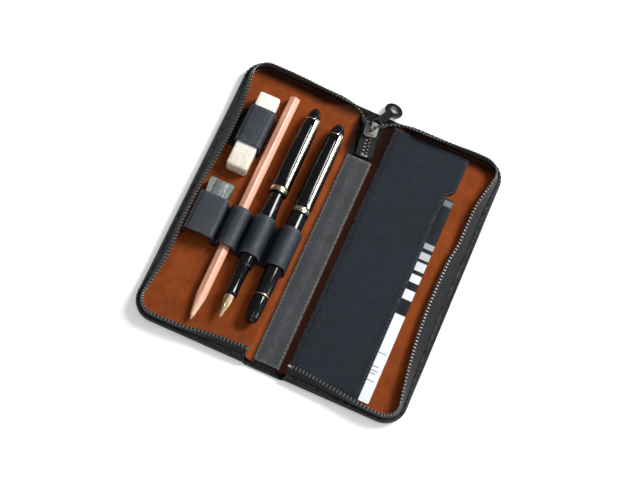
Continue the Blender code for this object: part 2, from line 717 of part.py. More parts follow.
def make_cap(number, carrier, x):
    """A cap with its band, clip and finial. The cap is a tube that is closed at the finial's end."""
    lip = CAP_LIPS[number]
    end = lip + CAP_LENGTHS[number]
    top = end - 10.2
    body = [(lip, CAP_BORE_R), (lip, 6.0), (lip + 0.8, 6.1), (lip + 0.8, 5.75), (lip + 3.8, 5.75),
            (lip + 3.8, CAP_R), (lip + 38, CAP_R), (top - 8, 5.9), (top, 5.1), (top, 0.8),
            (top - 7, 0.8), (top - 7.5, 3.6), (lip + 38, CAP_BORE_R)]
    add_piece(f"cap_{number}", turned(body, x, PEN_AXIS_Z, hollow=True), "pen_resin", carrier)
    band = [(lip + 1.1, 6.05), (lip + 1.1, 6.42), (lip + 3.5, 6.42), (lip + 3.5, 6.05)]
    add_piece(f"cap_band_{number}", turned(band, x, PEN_AXIS_Z, hollow=True), "gold", carrier)
    base = end - 8.8
    dome = [(base, 0), (base, 4.8), (base + 3, 4.3), (base + 6.4, 3.2), (end - 0.7, 1.8), (end, 0)]
    add_piece(f"finial_{number}", turned(dome, x, PEN_AXIS_Z), "pen_resin", carrier)
    make_clip(number, carrier, x, lip)


# ---------------------------------------------------------------- pencil, eraser, sharpener, ruler

def make_pencil(carrier):
    z = REST_Z + PENCIL_R * math.cos(math.radians(30))
    tip, end = PENCIL_Y
    wood = [(end, LEAD_R + GAP), (end, PENCIL_R), (tip + 18, PENCIL_R), (tip + 3.6, LEAD_R + 0.7),
            (tip + 3.6, LEAD_R + GAP)]
    shape = turned(wood, PENCIL_X, z, sides=6, hollow=True)
    to_flats = Matrix.Translation((PENCIL_X, 0, z)) @ Matrix.Rotation(math.radians(30), 4, "Y")
    placed(shape, to_flats @ Matrix.Translation((-PENCIL_X, 0, -z)))
    add_piece("pencil_wood", shape, "pencil_wood", carrier)
    core_r = LEAD_R - 0.15
    core = [(end - 0.2, 0), (end - 0.2, core_r), (tip + 3.2, core_r), (tip + 0.2, 0.2), (tip, 0)]
    add_piece("pencil_lead", turned(core, PENCIL_X, z, sides=10), "graphite", carrier)


def make_eraser(carrier):
    width, length, height = ERASER_SIZE
    low = (ERASER_X - width / 2, ERASER_Y, REST_Z)
    high = (ERASER_X + width / 2, ERASER_Y + length, REST_Z + height)
    add_piece("eraser_block", soft_block(low, high, 0.8), "eraser_vinyl", carrier)


def make_sharpener(carrier):
    width, length, height = SHARPENER_SIZE
    top_z = REST_Z + height
    y_end = SHARPENER_TOP_Y - length
    low = (SHARPENER_X - width / 2, y_end, REST_Z)
    body = add_piece("sharpener_body", block(low, (SHARPENER_X + width / 2, SHARPENER_TOP_Y, top_z)),
                     "sharpener_metal", carrier, smooth=False)
    cone = [(SHARPENER_TOP_Y + 1, 0), (SHARPENER_TOP_Y + 1, 3.45), (SHARPENER_TOP_Y - 21, 0.8),
            (SHARPENER_TOP_Y - 21, 0)]
    cut_or_join(body, turned(cone, SHARPENER_X, REST_Z + 4.0, 16), "DIFFERENCE", carrier)
    seat = block((SHARPENER_X - 4.8, y_end + 1.5, top_z - 1.0), (SHARPENER_X + 4.8, SHARPENER_TOP_Y + 1, top_z + 1))
    cut_or_join(body, seat, "DIFFERENCE", carrier)
    blade = block((SHARPENER_X - 4.3, y_end + 1.9, top_z - 0.7), (SHARPENER_X + 4.3, SHARPENER_TOP_Y - 0.6, top_z - 0.2))
    add_piece("sharpener_blade", blade, "blade_steel", carrier, smooth=False)
    screw = bmesh.new()
    at = Matrix.Translation((SHARPENER_X, y_end + 9, top_z + 0.4))
    bmesh.ops.create_cone(screw, cap_ends=True, segments=14, radius1=2.2, radius2=1.7, depth=0.6, matrix=at)
    add_piece("sharpener_screw", screw, "sharpener_metal", carrier)


def make_ruler(carrier):
    low = (RULER_X[0], RULER_Y[0], RULER_Z[0])
    high = (RULER_X[1], RULER_Y[1], RULER_Z[1])
    add_piece("ruler", block(low, high), "ruler_plastic", carrier, smooth=False)


def build():
    clear_scene()
    spine = joint_frame("spine_frame", (0, 0, 0))
    left = joint_frame("left_fold_axis", (-HINGE_X, 0, HINGE_Z), spine)
    right = joint_frame("right_fold_axis", (HINGE_X, 0, HINGE_Z), spine)
    slider = joint_frame("slider_axis", SLIDER_AT, spine)
    pull = joint_frame("pull_axis", pull_pivot(), slider)
    pen_1 = joint_frame("pen_1_axis", (PEN_1_X, PEN_1_TIP_Y, PEN_AXIS_Z), left)
    cap_1 = joint_frame("cap_1_axis", (PEN_1_X, CAP_LIPS["1"], PEN_AXIS_Z), pen_1)
    pen_2 = joint_frame("pen_2_axis", (PEN_2_X, PEN_2_TIP_Y, PEN_AXIS_Z), left)
    cap_2 = joint_frame("cap_2_axis", (PEN_2_X, CAP_LIPS["2"], PEN_AXIS_Z), pen_2)
    knob = joint_frame("knob_2_axis", (PEN_2_X, PISTON_Y, PEN_AXIS_Z), pen_2)
    pencil = joint_frame("pencil_axis", (PENCIL_X, PENCIL_Y[0], REST_Z), left)
    eraser = joint_frame("eraser_axis", (ERASER_X, ERASER_Y, REST_Z), left)
    sharpener = joint_frame("sharpener_axis", (SHARPENER_X, SHARPENER_TOP_Y, REST_Z), left)
    ruler = joint_frame("ruler_axis", (RULER_X[1], 0, RULER_Z[0]), right)
    make_spine(spine)
    make_tail(spine)
    make_slider(slider)
    make_pull(pull)
    make_half("left", left)
    make_half("right", right)
    make_loops(left)
    make_pocket(right)
    make_pen_1(pen_1)
    make_cap("1", cap_1, PEN_1_X)
    make_pen_2(pen_2)
    make_cap("2", cap_2, PEN_2_X)
    make_knob(knob)
    make_pencil(pencil)
    make_eraser(eraser)
    make_sharpener(sharpener)
    make_ruler(ruler)


build()
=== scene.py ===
"""Looks for an open, zippered pen case with its pens and drawing tools.

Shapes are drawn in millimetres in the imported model's own frame and scaled to metres when a mesh is made:
the origin is the middle of the spine's underside, +X points to the pocket half, +Y to the zip slider, +Z up.
"""
import math

import bmesh
import bpy
from mathutils import Matrix, Vector


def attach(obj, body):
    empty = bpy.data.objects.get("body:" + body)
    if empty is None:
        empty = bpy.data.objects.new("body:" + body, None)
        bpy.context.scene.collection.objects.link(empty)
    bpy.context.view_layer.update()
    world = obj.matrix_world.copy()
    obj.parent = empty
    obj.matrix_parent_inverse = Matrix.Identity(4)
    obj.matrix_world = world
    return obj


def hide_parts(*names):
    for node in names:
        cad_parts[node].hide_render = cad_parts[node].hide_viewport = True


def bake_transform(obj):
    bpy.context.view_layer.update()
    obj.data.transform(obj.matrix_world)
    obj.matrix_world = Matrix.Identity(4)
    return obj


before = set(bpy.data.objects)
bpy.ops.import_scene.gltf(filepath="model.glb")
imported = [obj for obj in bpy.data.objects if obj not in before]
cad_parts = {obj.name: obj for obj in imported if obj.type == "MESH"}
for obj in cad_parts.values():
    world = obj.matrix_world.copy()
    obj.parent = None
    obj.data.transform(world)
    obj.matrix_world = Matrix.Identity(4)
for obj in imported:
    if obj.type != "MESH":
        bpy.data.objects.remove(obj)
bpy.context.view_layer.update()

MM = 0.001
SIDES = {"left": -1, "right": 1}

# The case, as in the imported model
HALF_LENGTH = 99.5
HALF_SPAN = 92.0
CORNER_R = 15.0
HINGE_X = 11.0
HINGE_Z = 1.4
LEATHER = 1.4
RIM_START, RIM_HEIGHT = 5.8, 12.2
LEAN_FROM, LEAN_CURVE = 3.0, 1.4
WALL_ENDS = (7.3, 3.2)
WALL_UPPER_RISE, WALL_LOWER_RISE = (7.3, 14.0), (1.7, 1.5)
COVER_UPPER_RISE, COVER_LOWER_RISE = (3.0, 16.0), (1.0, 3.0)
LINING_FACE = 4.2
FLOOR_Z = 3.8
REST_Z = 4.1
TOP_RUN = HALF_SPAN - CORNER_R - HINGE_X
ARC_RUN = CORNER_R * math.pi / 2
EDGE_RUN = 2 * (TOP_RUN + ARC_RUN + HALF_LENGTH - CORNER_R)
LEAN = {
    -1: ((0, 4.0), (14, 3.5), (29, 2.1), (44, 1.0), (60, 0.7), (72, 1.2), (90, 3.8), (113, 7.4), (133, 8.4),
         (153, 7.6), (173, 5.7), (183, 5.4), (210, 5.4), (226, 6.4), (242, 5.4), (259, 3.0), (274, 1.0), (290, 0.8),
         (304, 1.7), (319, 4.4), (334, 5.6), (348, 6.6)),
    1: ((0, 4.0), (14, 3.7), (29, 3.4), (44, 1.8), (60, 0.8), (72, 1.6), (90, 4.4), (113, 9.2), (133, 10.3),
        (142, 10.6), (156, 12.8), (173, 13.5), (192, 13.5), (212, 12.2), (232, 9.2), (247, 6.6), (259, 4.4),
        (274, 1.4), (290, 0.8), (304, 2.4), (319, 4.6), (334, 6.2), (348, 6.7)),
}
CREST = {
    -1: ((0, RIM_HEIGHT), (EDGE_RUN, RIM_HEIGHT)),
    1: ((0, RIM_HEIGHT), (100, RIM_HEIGHT), (113, 11.6), (133, 10.2), (153, 9.4), (173, 9.4), (212, 9.4),
        (232, 10.6), (250, RIM_HEIGHT), (EDGE_RUN, RIM_HEIGHT)),
}
FOLD_FROM, FOLD_TO = 8.6, 13.4
SPINE_TOP = 2.42
UP = Vector((0, 0, 1))

# The zip
PITCH = 2.4
TOOTH_RINGS = ((-1.1, 0.38, 0.66), (-0.95, 0.46, 0.78), (0.05, 0.52, 0.82), (0.42, 0.52, 0.76), (0.78, 0.42, 0.58),
               (0.98, 0.26, 0.35))
CHAIN_INSET = 2.0
SLIDER_AT = Vector((-0.6, 83.8, 6.2))
TAIL_END = Vector((1.6, 66.0, 3.2))
PULL_HEAD_AT = Vector((7.8, 105.2))
PULL_SLOPE = math.radians(-19)

# Pens
PEN_Z = 10.3
PENS = {"1": {"x": -38.0, "tip": -81.1, "way": 1, "lip": 11.7, "cap": 68.0},
        "2": {"x": -19.8, "tip": 46.7, "way": -1, "lip": 4.5, "cap": 71.9}}
NIB_LENGTH = 15.8
BARREL_FROM = 37.3
CLIP_ANGLE = math.radians(30)

# The pocket's panel: its two x and two y limits
PANEL = (13.4, 61.4, -93.7, 93.4)

# The eraser, the sharpener and the pencil
ERASER_X = -69.4
SHARPENER_X = -73.2
PENCIL_X = -54.4
PENCIL_R = 4.0
PENCIL_FLAT = PENCIL_R * math.cos(math.radians(30))

# Threads: the pitch and length of a stitch, and its radius
COVER_THREAD = (3.3, 2.5, 0.26)
LINING_THREAD = (2.9, 2.1, 0.17)
PANEL_THREAD = (2.9, 2.1, 0.2)
STRAP_THREAD = (2.6, 1.9, 0.2)


# ---------------------------------------------------------------- materials

class Look:
    """A procedural material, built one node at a time. Patterns are laid out in millimetres."""

    def __init__(self, name):
        self.material = bpy.data.materials.new(name)
        self.material.use_nodes = True
        self.tree = self.material.node_tree
        self.tree.nodes.clear()
        end = self.tree.nodes.new("ShaderNodeOutputMaterial")
        self.shader = self.tree.nodes.new("ShaderNodeBsdfPrincipled")
        self.tree.links.new(self.shader.outputs[0], end.inputs[0])
        place = self.tree.nodes.new("ShaderNodeTexCoord").outputs["Object"]
        self.place = self.vector("SCALE", place, scale=1000.0)

    def feed(self, socket, value):
        if isinstance(value, bpy.types.NodeSocket):
            self.tree.links.new(value, socket)
        elif socket.type == "RGBA" and len(value) == 3:
            socket.default_value = (*value, 1.0)
        else:
            socket.default_value = value

    def node(self, kind, feeds, out=0, **settings):
        made = self.tree.nodes.new("ShaderNode" + kind)
        for key, value in settings.items():
            setattr(made, key, value)
        for key, value in feeds.items():
            self.feed(made.inputs[key], value)
        return made.outputs[out]

    def math(self, operation, *values, clamp=False):
        return self.node("Math", dict(enumerate(values)), operation=operation, use_clamp=clamp)

    def times(self, *values, clamp=False):
        return self.math("MULTIPLY", *values, clamp=clamp)

    def plus(self, *values):
        return self.math("ADD", *values)

    def vector(self, operation, *values, scale=None):
        feeds = dict(enumerate(values))
        if scale is not None:
            feeds["Scale"] = scale
        return self.node("VectorMath", feeds, operation=operation)

    def attribute(self, name, out="Fac"):
        return self.node("Attribute", {}, out=out, attribute_name=name)

    def split(self, value, axis):
        return self.node("SeparateXYZ", {0: value}, out=axis)

    def noise(self, size, detail=3.0, rough=0.55, stretch=None):
        """Noise from 0 to 1 whose features are about size millimetres across."""
        place = self.vector("MULTIPLY", self.place, stretch) if stretch else self.place
        return self.node("TexNoise", {"Vector": place, "Scale": 1.0 / size, "Detail": detail, "Roughness": rough})

    def cell_edges(self, size, at):
        """How far a place is from the edges of cells that are about size millimetres across."""
        return self.node("TexVoronoi", {"Vector": at, "Scale": 1.0 / size}, feature="DISTANCE_TO_EDGE")

    def span(self, value, low, high, to_low=0.0, to_high=1.0):
        """The value stretched from one range to another, and clamped there."""
        feeds = {"Value": value, "From Min": low, "From Max": high, "To Min": to_low, "To Max": to_high}
        return self.node("MapRange", feeds, clamp=True)

    def mix(self, share, first, second):
        made = self.tree.nodes.new("ShaderNodeMix")
        made.data_type = "RGBA"
        made.clamp_factor = True
        for socket, value in ((made.inputs[0], share), (made.inputs[6], first), (made.inputs[7], second)):
            self.feed(socket, value)
        return made.outputs[2]

    def bump(self, *layers):
        """Bumps from (height from 0 to 1, depth in millimetres) pairs, laid on each other."""
        normal = None
        for height, depth in layers:
            feeds = {"Height": height, "Distance": depth * MM, "Strength": 1.0}
            if normal is not None:
                feeds["Normal"] = normal
            normal = self.node("Bump", feeds)
        self.feed(self.shader.inputs["Normal"], normal)

    def set(self, **values):
        for key, value in values.items():
            self.feed(self.shader.inputs[key.replace("_", " ")], value)
        return self.material


def scaled(colour, by):
    return tuple(min(1.0, part * by) for part in colour)


def leather(name, colour, pebble, depth, rough, worn, shine, painted_shade_below=None):
    """Grained leather: pebbles with painted shade in the creases between them, pores, uneven dye and rubbed edges.
    Its last argument is the height from which painted shade darkens a loop towards its foot, where its shine fades too."""
    look = Look(name)
    wander = look.node("TexNoise", {"Vector": look.place, "Scale": 0.9, "Detail": 1.0}, out=1)
    bent = look.vector("ADD", look.place, look.vector("SCALE", wander, scale=0.7))
    edge = look.span(look.cell_edges(pebble, bent), 0.0, 0.22)
    fine = look.noise(pebble * 0.35, 2.0)
    broad = look.noise(16.0, 3.0)
    dyed = look.mix(look.span(broad, 0.3, 0.7), scaled(colour, 0.78), scaled(colour, 1.35))
    # Painted shade in the creases between the pebbles.
    creased = look.mix(look.span(edge, 0.0, 1.0, 0.45, 0.0), dyed, scaled(colour, 0.35))
    rub = look.times(look.attribute("wear"), look.span(look.noise(2.2, 4.0), 0.38, 0.68), clamp=True)
    shown = look.mix(rub, creased, worn)
    if painted_shade_below:
        # Painted shade: the loop darkens and loses its shine towards its foot and over the strap between the loops.
        low = look.span(look.split(look.place, 2), painted_shade_below, painted_shade_below + 2.5, 0.8, 0.0)
        shown = look.mix(low, shown, scaled(colour, 0.15))
        shine = look.times(look.math("SUBTRACT", 1.0, low), shine)
    roughness = look.plus(look.span(broad, 0.3, 0.7, rough - 0.06, rough + 0.08),
                          look.span(edge, 0.0, 1.0, 0.12, 0.0))
    look.bump((edge, depth), (fine, depth * 0.45), (broad, 0.25))
    return look.set(Base_Color=shown, Roughness=roughness, Specular_IOR_Level=shine)


# Where painted shade makes the lining nearly black, in millimetres: by each fold as (side, reach, depth), and then from
# and to
FOLD_PAINTED_SHADE = ((1, 15.0, 0.92), (-1, 11.5, 0.6))
UPPER_WALL_PAINTED_SHADE = (86.5, 92.5)
SLIDER_PAINTED_SHADE = {"left": (-14.5, -11.5), "right": (13.0, 16.0), "up": (58.0, 68.0)}


def suede(name, colour):
    """Napped lining leather: soft cloudy colour, short fibres and a faint sheen, with painted shade that turns it
    nearly black by the folds, along the upper wall and beside the slider.
    """
    look = Look(name)
    cloud = look.noise(9.0, 4.0, 0.6)
    nap = look.noise(0.35, 3.0, 0.7)
    brushed = look.noise(1.6, 3.0, 0.6, stretch=(1.0, 0.25, 1.0))
    base = look.mix(look.span(cloud, 0.3, 0.7), scaled(colour, 0.72), scaled(colour, 1.25))
    red, green, blue = colour
    pale = (red * 1.35, green * 1.5, blue * 1.5)
    # The colour of the painted shade, nearly black.
    painted_shade_colour = scaled(colour, 0.07)
    streaked = look.mix(look.span(brushed, 0.35, 0.7, 0.0, 0.5), base, pale)
    shown = look.mix(look.span(nap, 0.4, 0.75, 0.0, 0.55), streaked, scaled(colour, 0.45))
    rest = look.attribute("run", "Vector")
    across, up = look.split(rest, 0), look.split(rest, 1)
    # Painted shade: nearly black by each fold, along the upper wall and beside the slider.
    for way, reach, depth in FOLD_PAINTED_SHADE:
        fold = look.span(look.times(across, way), reach - 2.5, reach, depth, 0.0)
        fold = look.times(fold, look.span(look.times(across, way), 0.0, 1.0))
        shown = look.mix(fold, shown, painted_shade_colour)
    beside = look.times(look.span(across, *SLIDER_PAINTED_SHADE["left"], 0.0, 0.93),
                        look.span(across, *SLIDER_PAINTED_SHADE["right"], 1.0, 0.0))
    shade = look.math("MAXIMUM", look.span(up, *UPPER_WALL_PAINTED_SHADE, 0.0, 0.93),
                      look.times(beside, look.span(up, *SLIDER_PAINTED_SHADE["up"])))
    shown = look.mix(shade, shown, painted_shade_colour)
    look.bump((nap, 0.07), (brushed, 0.05), (cloud, 0.12))
    return look.set(Base_Color=shown, Roughness=look.span(nap, 0.3, 0.7, 0.78, 0.95), Sheen_Weight=0.04,
                    Sheen_Roughness=0.5, Specular_IOR_Level=0.1)


def woven(name, colour):
    """Zip tape: a fuzzy herringbone weave laid out along the tape."""
    look = Look(name)
    run = look.attribute("run", "Vector")
    along, up = look.split(run, 0), look.split(run, 1)
    zigzag = look.math("PINGPONG", up, 1.1)
    twill = look.math("SINE", look.times(look.plus(along, zigzag), 2 * math.pi / 0.62))
    warp = look.math("SINE", look.times(up, 2 * math.pi / 0.36))
    cloth = look.span(look.plus(twill, look.times(warp, 0.45)), -1.3, 1.3)
    fuzz = look.noise(0.25, 3.0, 0.7)
    shown = look.mix(cloth, scaled(colour, 0.35), scaled(colour, 1.7))
    shown = look.mix(look.span(fuzz, 0.5, 0.8, 0.0, 0.35), shown, scaled(colour, 3.0))
    look.bump((cloth, 0.12), (fuzz, 0.05))
    return look.set(Base_Color=shown, Roughness=0.85, Sheen_Weight=0.2, Specular_IOR_Level=0.3)


def twisted(name, colour):
    """Sewing thread: a two-ply twist, with a painted highlight on top of each turn and painted shade between turns."""
    look = Look(name)
    run = look.attribute("run", "Vector")
    turn = look.times(look.plus(look.split(run, 0), look.split(run, 1)), 2 * math.pi / 0.5)
    ply = look.span(look.math("SINE", turn), -1.0, 1.0)
    # Painted highlight on each turn's top, painted shade between the turns.
    shown = look.mix(ply, scaled(colour, 0.45), scaled(colour, 1.3))
    look.bump((ply, 0.06))
    return look.set(Base_Color=shown, Roughness=0.6)


def metal(name, colour, rough, scratch=0.5, tarnish=0.25, dull=(0.12, 0.11, 0.10)):
    """Plated or plain metal with fine scratches and darker patches where it has dulled."""
    look = Look(name)
    fine = look.noise(0.3, 4.0, 0.65, stretch=(1.0, 0.12, 1.0))
    patch = look.noise(3.5, 4.0, 0.6)
    aged = look.span(patch, 0.42, 0.75, 0.0, tarnish)
    bright = look.mix(look.span(fine, 0.3, 0.7), scaled(colour, 0.88), scaled(colour, 1.06))
    shown = look.mix(aged, bright, dull)
    roughness = look.plus(look.span(fine, 0.3, 0.75, rough * 0.75, rough * 1.35),
                          look.span(patch, 0.4, 0.8, 0.0, 0.12))
    look.bump((fine, 0.012 * scratch), (patch, 0.02 * scratch))
    return look.set(Base_Color=shown, Roughness=roughness, Metallic=1.0)


def resin(name, colour):
    """Polished resin with a clear gloss, hairline scratches and a trace of dust."""
    look = Look(name)
    hair = look.noise(0.22, 3.0, 0.7, stretch=(1.0, 0.08, 1.0))
    smear = look.noise(6.0, 3.0, 0.6)
    shown = look.mix(look.span(smear, 0.4, 0.7), colour, scaled(colour, 1.8))
    roughness = look.plus(look.span(hair, 0.5, 0.8, 0.1, 0.22), look.span(smear, 0.4, 0.75, 0.0, 0.06))
    look.bump((hair, 0.003), (smear, 0.01))
    return look.set(Base_Color=shown, Roughness=roughness, IOR=1.5, Specular_IOR_Level=0.4)


def wood(name, colour, dark, lacquer):
    """Straight-grained wood, with growth lines along its length and small pores."""
    look = Look(name)
    grain = look.noise(1.1, 5.0, 0.6, stretch=(1.0, 0.035, 1.0))
    pores = look.noise(0.3, 3.0, 0.7, stretch=(1.0, 0.1, 1.0))
    broad = look.noise(12.0, 2.0, 0.5, stretch=(1.0, 0.3, 1.0))
    base = look.mix(look.span(grain, 0.38, 0.68), colour, dark)
    base = look.mix(look.span(broad, 0.35, 0.65, 0.0, 0.35), base, scaled(colour, 1.15))
    shown = look.mix(look.span(pores, 0.58, 0.8, 0.0, 0.5), base, scaled(dark, 0.6))
    look.bump((grain, 0.03), (pores, 0.02))
    return look.set(Base_Color=shown, Roughness=look.span(grain, 0.3, 0.7, 0.38, 0.55),
                    Coat_Weight=lacquer, Coat_Roughness=0.2)


def vinyl(name, colour, smudge):
    """Soft eraser vinyl: matt, a little see-through, and yellowed and smudged towards its used lower end."""
    look = Look(name)
    low = look.span(look.split(look.place, 1), 22.0, 36.0, 1.0, 0.0)
    marks = look.times(look.span(look.noise(2.6, 4.0, 0.65), 0.45, 0.75), look.span(low, 0.0, 1.0, 0.25, 0.9),
                       clamp=True)
    cream = look.mix(look.times(low, 0.55), colour, scaled((0.86, 0.74, 0.52), 0.92))
    grit = look.noise(0.4, 3.0, 0.6)
    look.bump((grit, 0.05), (look.noise(5.0), 0.2))
    return look.set(Base_Color=look.mix(marks, cream, smudge), Roughness=look.span(grit, 0.3, 0.7, 0.5, 0.68),
                    Subsurface_Weight=0.15, Subsurface_Scale=0.002)


def board_look(name):
    """Grey millboard with flecks of fibre."""
    look = Look(name)
    fleck = look.noise(0.8, 4.0, 0.7)
    look.bump((fleck, 0.05))
    return look.set(Base_Color=look.mix(look.span(fleck, 0.35, 0.7), (0.30, 0.24, 0.17), (0.45, 0.38, 0.29)),
                    Roughness=0.9)


# The ruler's print, in millimetres along it: (middle, half length, strength) and (place, length past the first)
RULER_FIELD = (-92.5, -28.0)
RULER_BLOCKS = ((-13.1, 3.5, 0.95), (-1.0, 2.9, 0.95), (8.0, 3.2, 0.8), (16.0, 2.6, 0.6), (23.5, 2.0, 0.45))
RULER_TICKS = ((-57.1, 4.8), (-66.9, 3.4), (-70.0, 4.2), (-72.0, 3.0), (-76.9, 4.2))


def ruler_look(name):
    """A dark plastic rule with a white printed scale: a long white field with a few ticks, then short blocks."""
    look = Look(name)
    x, y = look.split(look.place, 0), look.split(look.place, 1)

    def band(value, low, high, soft=0.12):
        up = look.span(value, low - soft, low + soft)
        down = look.span(value, high - soft, high + soft, 1.0, 0.0)
        return look.times(up, down)

    def join(parts):
        whole = parts[0]
        for part in parts[1:]:
            whole = look.math("MAXIMUM", whole, part)
        return whole

    field = band(y, *RULER_FIELD)
    blocks = join([look.times(band(y, middle - half, middle + half, 0.3), strength)
                   for middle, half, strength in RULER_BLOCKS])
    blocks = look.times(blocks, band(x, 60.0, 68.2))
    mark = look.times(band(y, 55.4, 59.6, 0.6), band(x, 62.2, 68.0, 0.4))
    white = join([field, blocks, look.times(mark, 0.2)])
    ticks = join([look.times(band(y, at - 0.5, at + 0.5), band(x, 61.0, 62.0 + reach)) for at, reach in RULER_TICKS])
    grit = look.noise(0.5, 3.0)
    scuff = look.span(look.noise(4.0, 4.0, 0.7, stretch=(1.0, 0.2, 1.0)), 0.5, 0.8, 0.0, 0.06)
    base = look.mix(white, (0.009, 0.011, 0.014), (0.80, 0.81, 0.83))
    base = look.mix(look.times(ticks, 0.7), base, (0.20, 0.22, 0.26))
    shown = look.mix(scuff, base, (0.30, 0.30, 0.29))
    look.bump((grit, 0.01), (white, 0.04))
    return look.set(Base_Color=shown, Roughness=look.span(grit, 0.3, 0.7, 0.38, 0.5), Specular_IOR_Level=0.08)


def floor_look(name):
    """Pale paper, which glows a little so that it stays near white away from the lights."""
    look = Look(name)
    grain = look.noise(40.0, 3.0)
    return look.set(Base_Color=look.mix(grain, (0.86, 0.86, 0.86), (0.90, 0.90, 0.90)), Roughness=0.9,
                    Emission_Color=(1.0, 1.0, 1.0), Emission_Strength=0.3)


LOOKS = {
    "black_leather": leather("black_leather_grain", (0.0055, 0.0055, 0.0065), pebble=0.95, depth=0.16, rough=0.40,
                             worn=(0.05, 0.05, 0.053), shine=0.16),
    "loop_leather": leather("loop_leather_grain", (0.013, 0.018, 0.027), pebble=0.5, depth=0.05, rough=0.36,
                            worn=(0.06, 0.07, 0.085), shine=0.45, painted_shade_below=5.8),
    "pocket_leather": leather("pocket_leather_grain", (0.012, 0.016, 0.023), pebble=0.55, depth=0.05, rough=0.55,
                              worn=(0.05, 0.055, 0.07), shine=0.13),
    "spine_leather": leather("spine_leather_grain", (0.043, 0.047, 0.052), pebble=0.6, depth=0.06, rough=0.5,
                             worn=(0.16, 0.16, 0.15), shine=0.2),
    "tan_lining": suede("tan_lining_nap", (0.225, 0.047, 0.009)),
    "zip_tape": woven("zip_tape_weave", (0.010, 0.010, 0.012)),
    "zip_metal": metal("zip_metal_plate", (0.22, 0.21, 0.20), 0.46),
    "pull_metal": metal("pull_metal_plate", (0.035, 0.035, 0.038), 0.34, dull=(0.012, 0.012, 0.012)),
    "black_thread": twisted("black_thread_ply", (0.045, 0.046, 0.05)),
    "grey_thread": twisted("grey_thread_ply", (0.30, 0.24, 0.18)),
    "pen_resin": resin("pen_resin_gloss", (0.003, 0.003, 0.004)),
    "nib_gold": metal("nib_gold_plate", (0.66, 0.50, 0.31), 0.3, scratch=0.3, tarnish=0.5, dull=(0.20, 0.11, 0.04)),
    "gold": metal("gold_plate", (0.92, 0.82, 0.62), 0.22, scratch=0.3, tarnish=0.1, dull=(0.45, 0.30, 0.12)),
    "pencil_lacquer": wood("pencil_lacquer_grain", (0.80, 0.40, 0.27), (0.62, 0.27, 0.16), 0.35),
    "pencil_cut": wood("pencil_cut_grain", (0.84, 0.52, 0.38), (0.66, 0.34, 0.22), 0.0),
    "pencil_lead": wood("pencil_lead_core", (0.72, 0.36, 0.28), (0.52, 0.24, 0.18), 0.0),
    "eraser_vinyl": vinyl("eraser_vinyl_soft", (0.87, 0.86, 0.80), (0.50, 0.49, 0.43)),
    "sharpener_metal": metal("sharpener_metal_cast", (0.46, 0.50, 0.47), 0.36, scratch=1.5, tarnish=0.6,
                             dull=(0.10, 0.16, 0.08)),
    "blade_steel": metal("blade_steel_ground", (0.50, 0.54, 0.53), 0.3, tarnish=0.7, dull=(0.13, 0.20, 0.11)),
    "ruler_plastic": ruler_look("ruler_print"),
    "board": board_look("board_fibre"),
}


# ---------------------------------------------------------------- building meshes

class Piece:
    """A mesh in the making. Points are in millimetres, and faces belong to one of its materials."""

    def __init__(self, *looks):
        self.looks = looks
        self.points, self.runs, self.wear = [], [], []
        self.faces, self.face_look = [], []

    def point(self, at, run=(0.0, 0.0), wear=0.0):
        """Add a point. run lays out woven and twisted looks, and wear from 0 to 1 is how rubbed the leather is."""
        self.points.append(tuple(at))
        self.runs.append((run[0], run[1], 0.0))
        self.wear.append(wear)
        return len(self.points) - 1

    def face(self, corners, look=0):
        corners = [c for k, c in enumerate(corners) if c != corners[k - 1]]
        if len(corners) > 2:
            self.faces.append(corners)
            self.face_look.append(look)

    def grid(self, rows, wrap=False, caps=False, runs=None, wear=None, look=0):
        """Quads between rows of points. wrap closes each row on itself, caps closes the first and last rows."""
        ids = []
        for i, row in enumerate(rows):
            ids.append([self.point(at, runs[i][k] if runs else (0.0, 0.0), wear[i][k] if wear else 0.0)
                        for k, at in enumerate(row)])
        for first, second in zip(ids, ids[1:]):
            count = len(first) if wrap else len(first) - 1
            for k in range(count):
                j = (k + 1) % len(first)
                self.face((first[k], first[j], second[j], second[k]), look)
        if caps:
            self.face(list(reversed(ids[0])), look)
            self.face(ids[-1], look)
        return ids

    def mesh(self, name):
        mesh = bpy.data.meshes.new(name)
        mesh.from_pydata([[c * MM for c in p] for p in self.points], [], self.faces)
        return mesh

    def make(self, name, body, sharp=38, merge=0.002, replaces=(), blend=None, slot=None):
        """The finished object. sharp is the angle from which an edge is, and merge is how close points become one."""
        mesh = self.mesh(name)
        for key in self.looks:
            mesh.materials.append(LOOKS[key])
        mesh.polygons.foreach_set("material_index", self.face_look)
        run = mesh.attributes.new("run", "FLOAT_VECTOR", "POINT")
        run.data.foreach_set("vector", [c for r in self.runs for c in r])
        worn = mesh.attributes.new("wear", "FLOAT", "POINT")
        worn.data.foreach_set("value", self.wear)
        clean(mesh, merge * MM)
        return settle(name, mesh, sharp, body, replaces, blend)


def clean(mesh, merge=1e-6, matrix=None):
    """Merge points that meet, move the mesh if there is a matrix, and turn its faces outwards."""
    shape = bmesh.new()
    shape.from_mesh(mesh)
    bmesh.ops.remove_doubles(shape, verts=shape.verts, dist=merge)
    if matrix:
        bmesh.ops.transform(shape, matrix=matrix, verts=shape.verts)
    bmesh.ops.recalc_face_normals(shape, faces=shape.faces)
    shape.to_mesh(mesh)
    shape.free()


def settle(name, mesh, sharp, body, replaces=(), blend=None):
    """An object from a mesh. It says what it rides on and which CAD nodes it stands for."""
    mesh.shade_smooth()
    mesh.set_sharp_from_angle(angle=math.radians(sharp))
    obj = bpy.data.objects.new(name, mesh)
    bpy.context.scene.collection.objects.link(obj)
    if blend:
        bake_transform(obj)
    else:
        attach(obj, body)
    if replaces:
        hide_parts(*replaces)
    return obj


def ease(value):
    """From 0 to 1, slow at both ends."""
    value = min(max(value, 0.0), 1.0)
    return value * value * (3 - 2 * value)


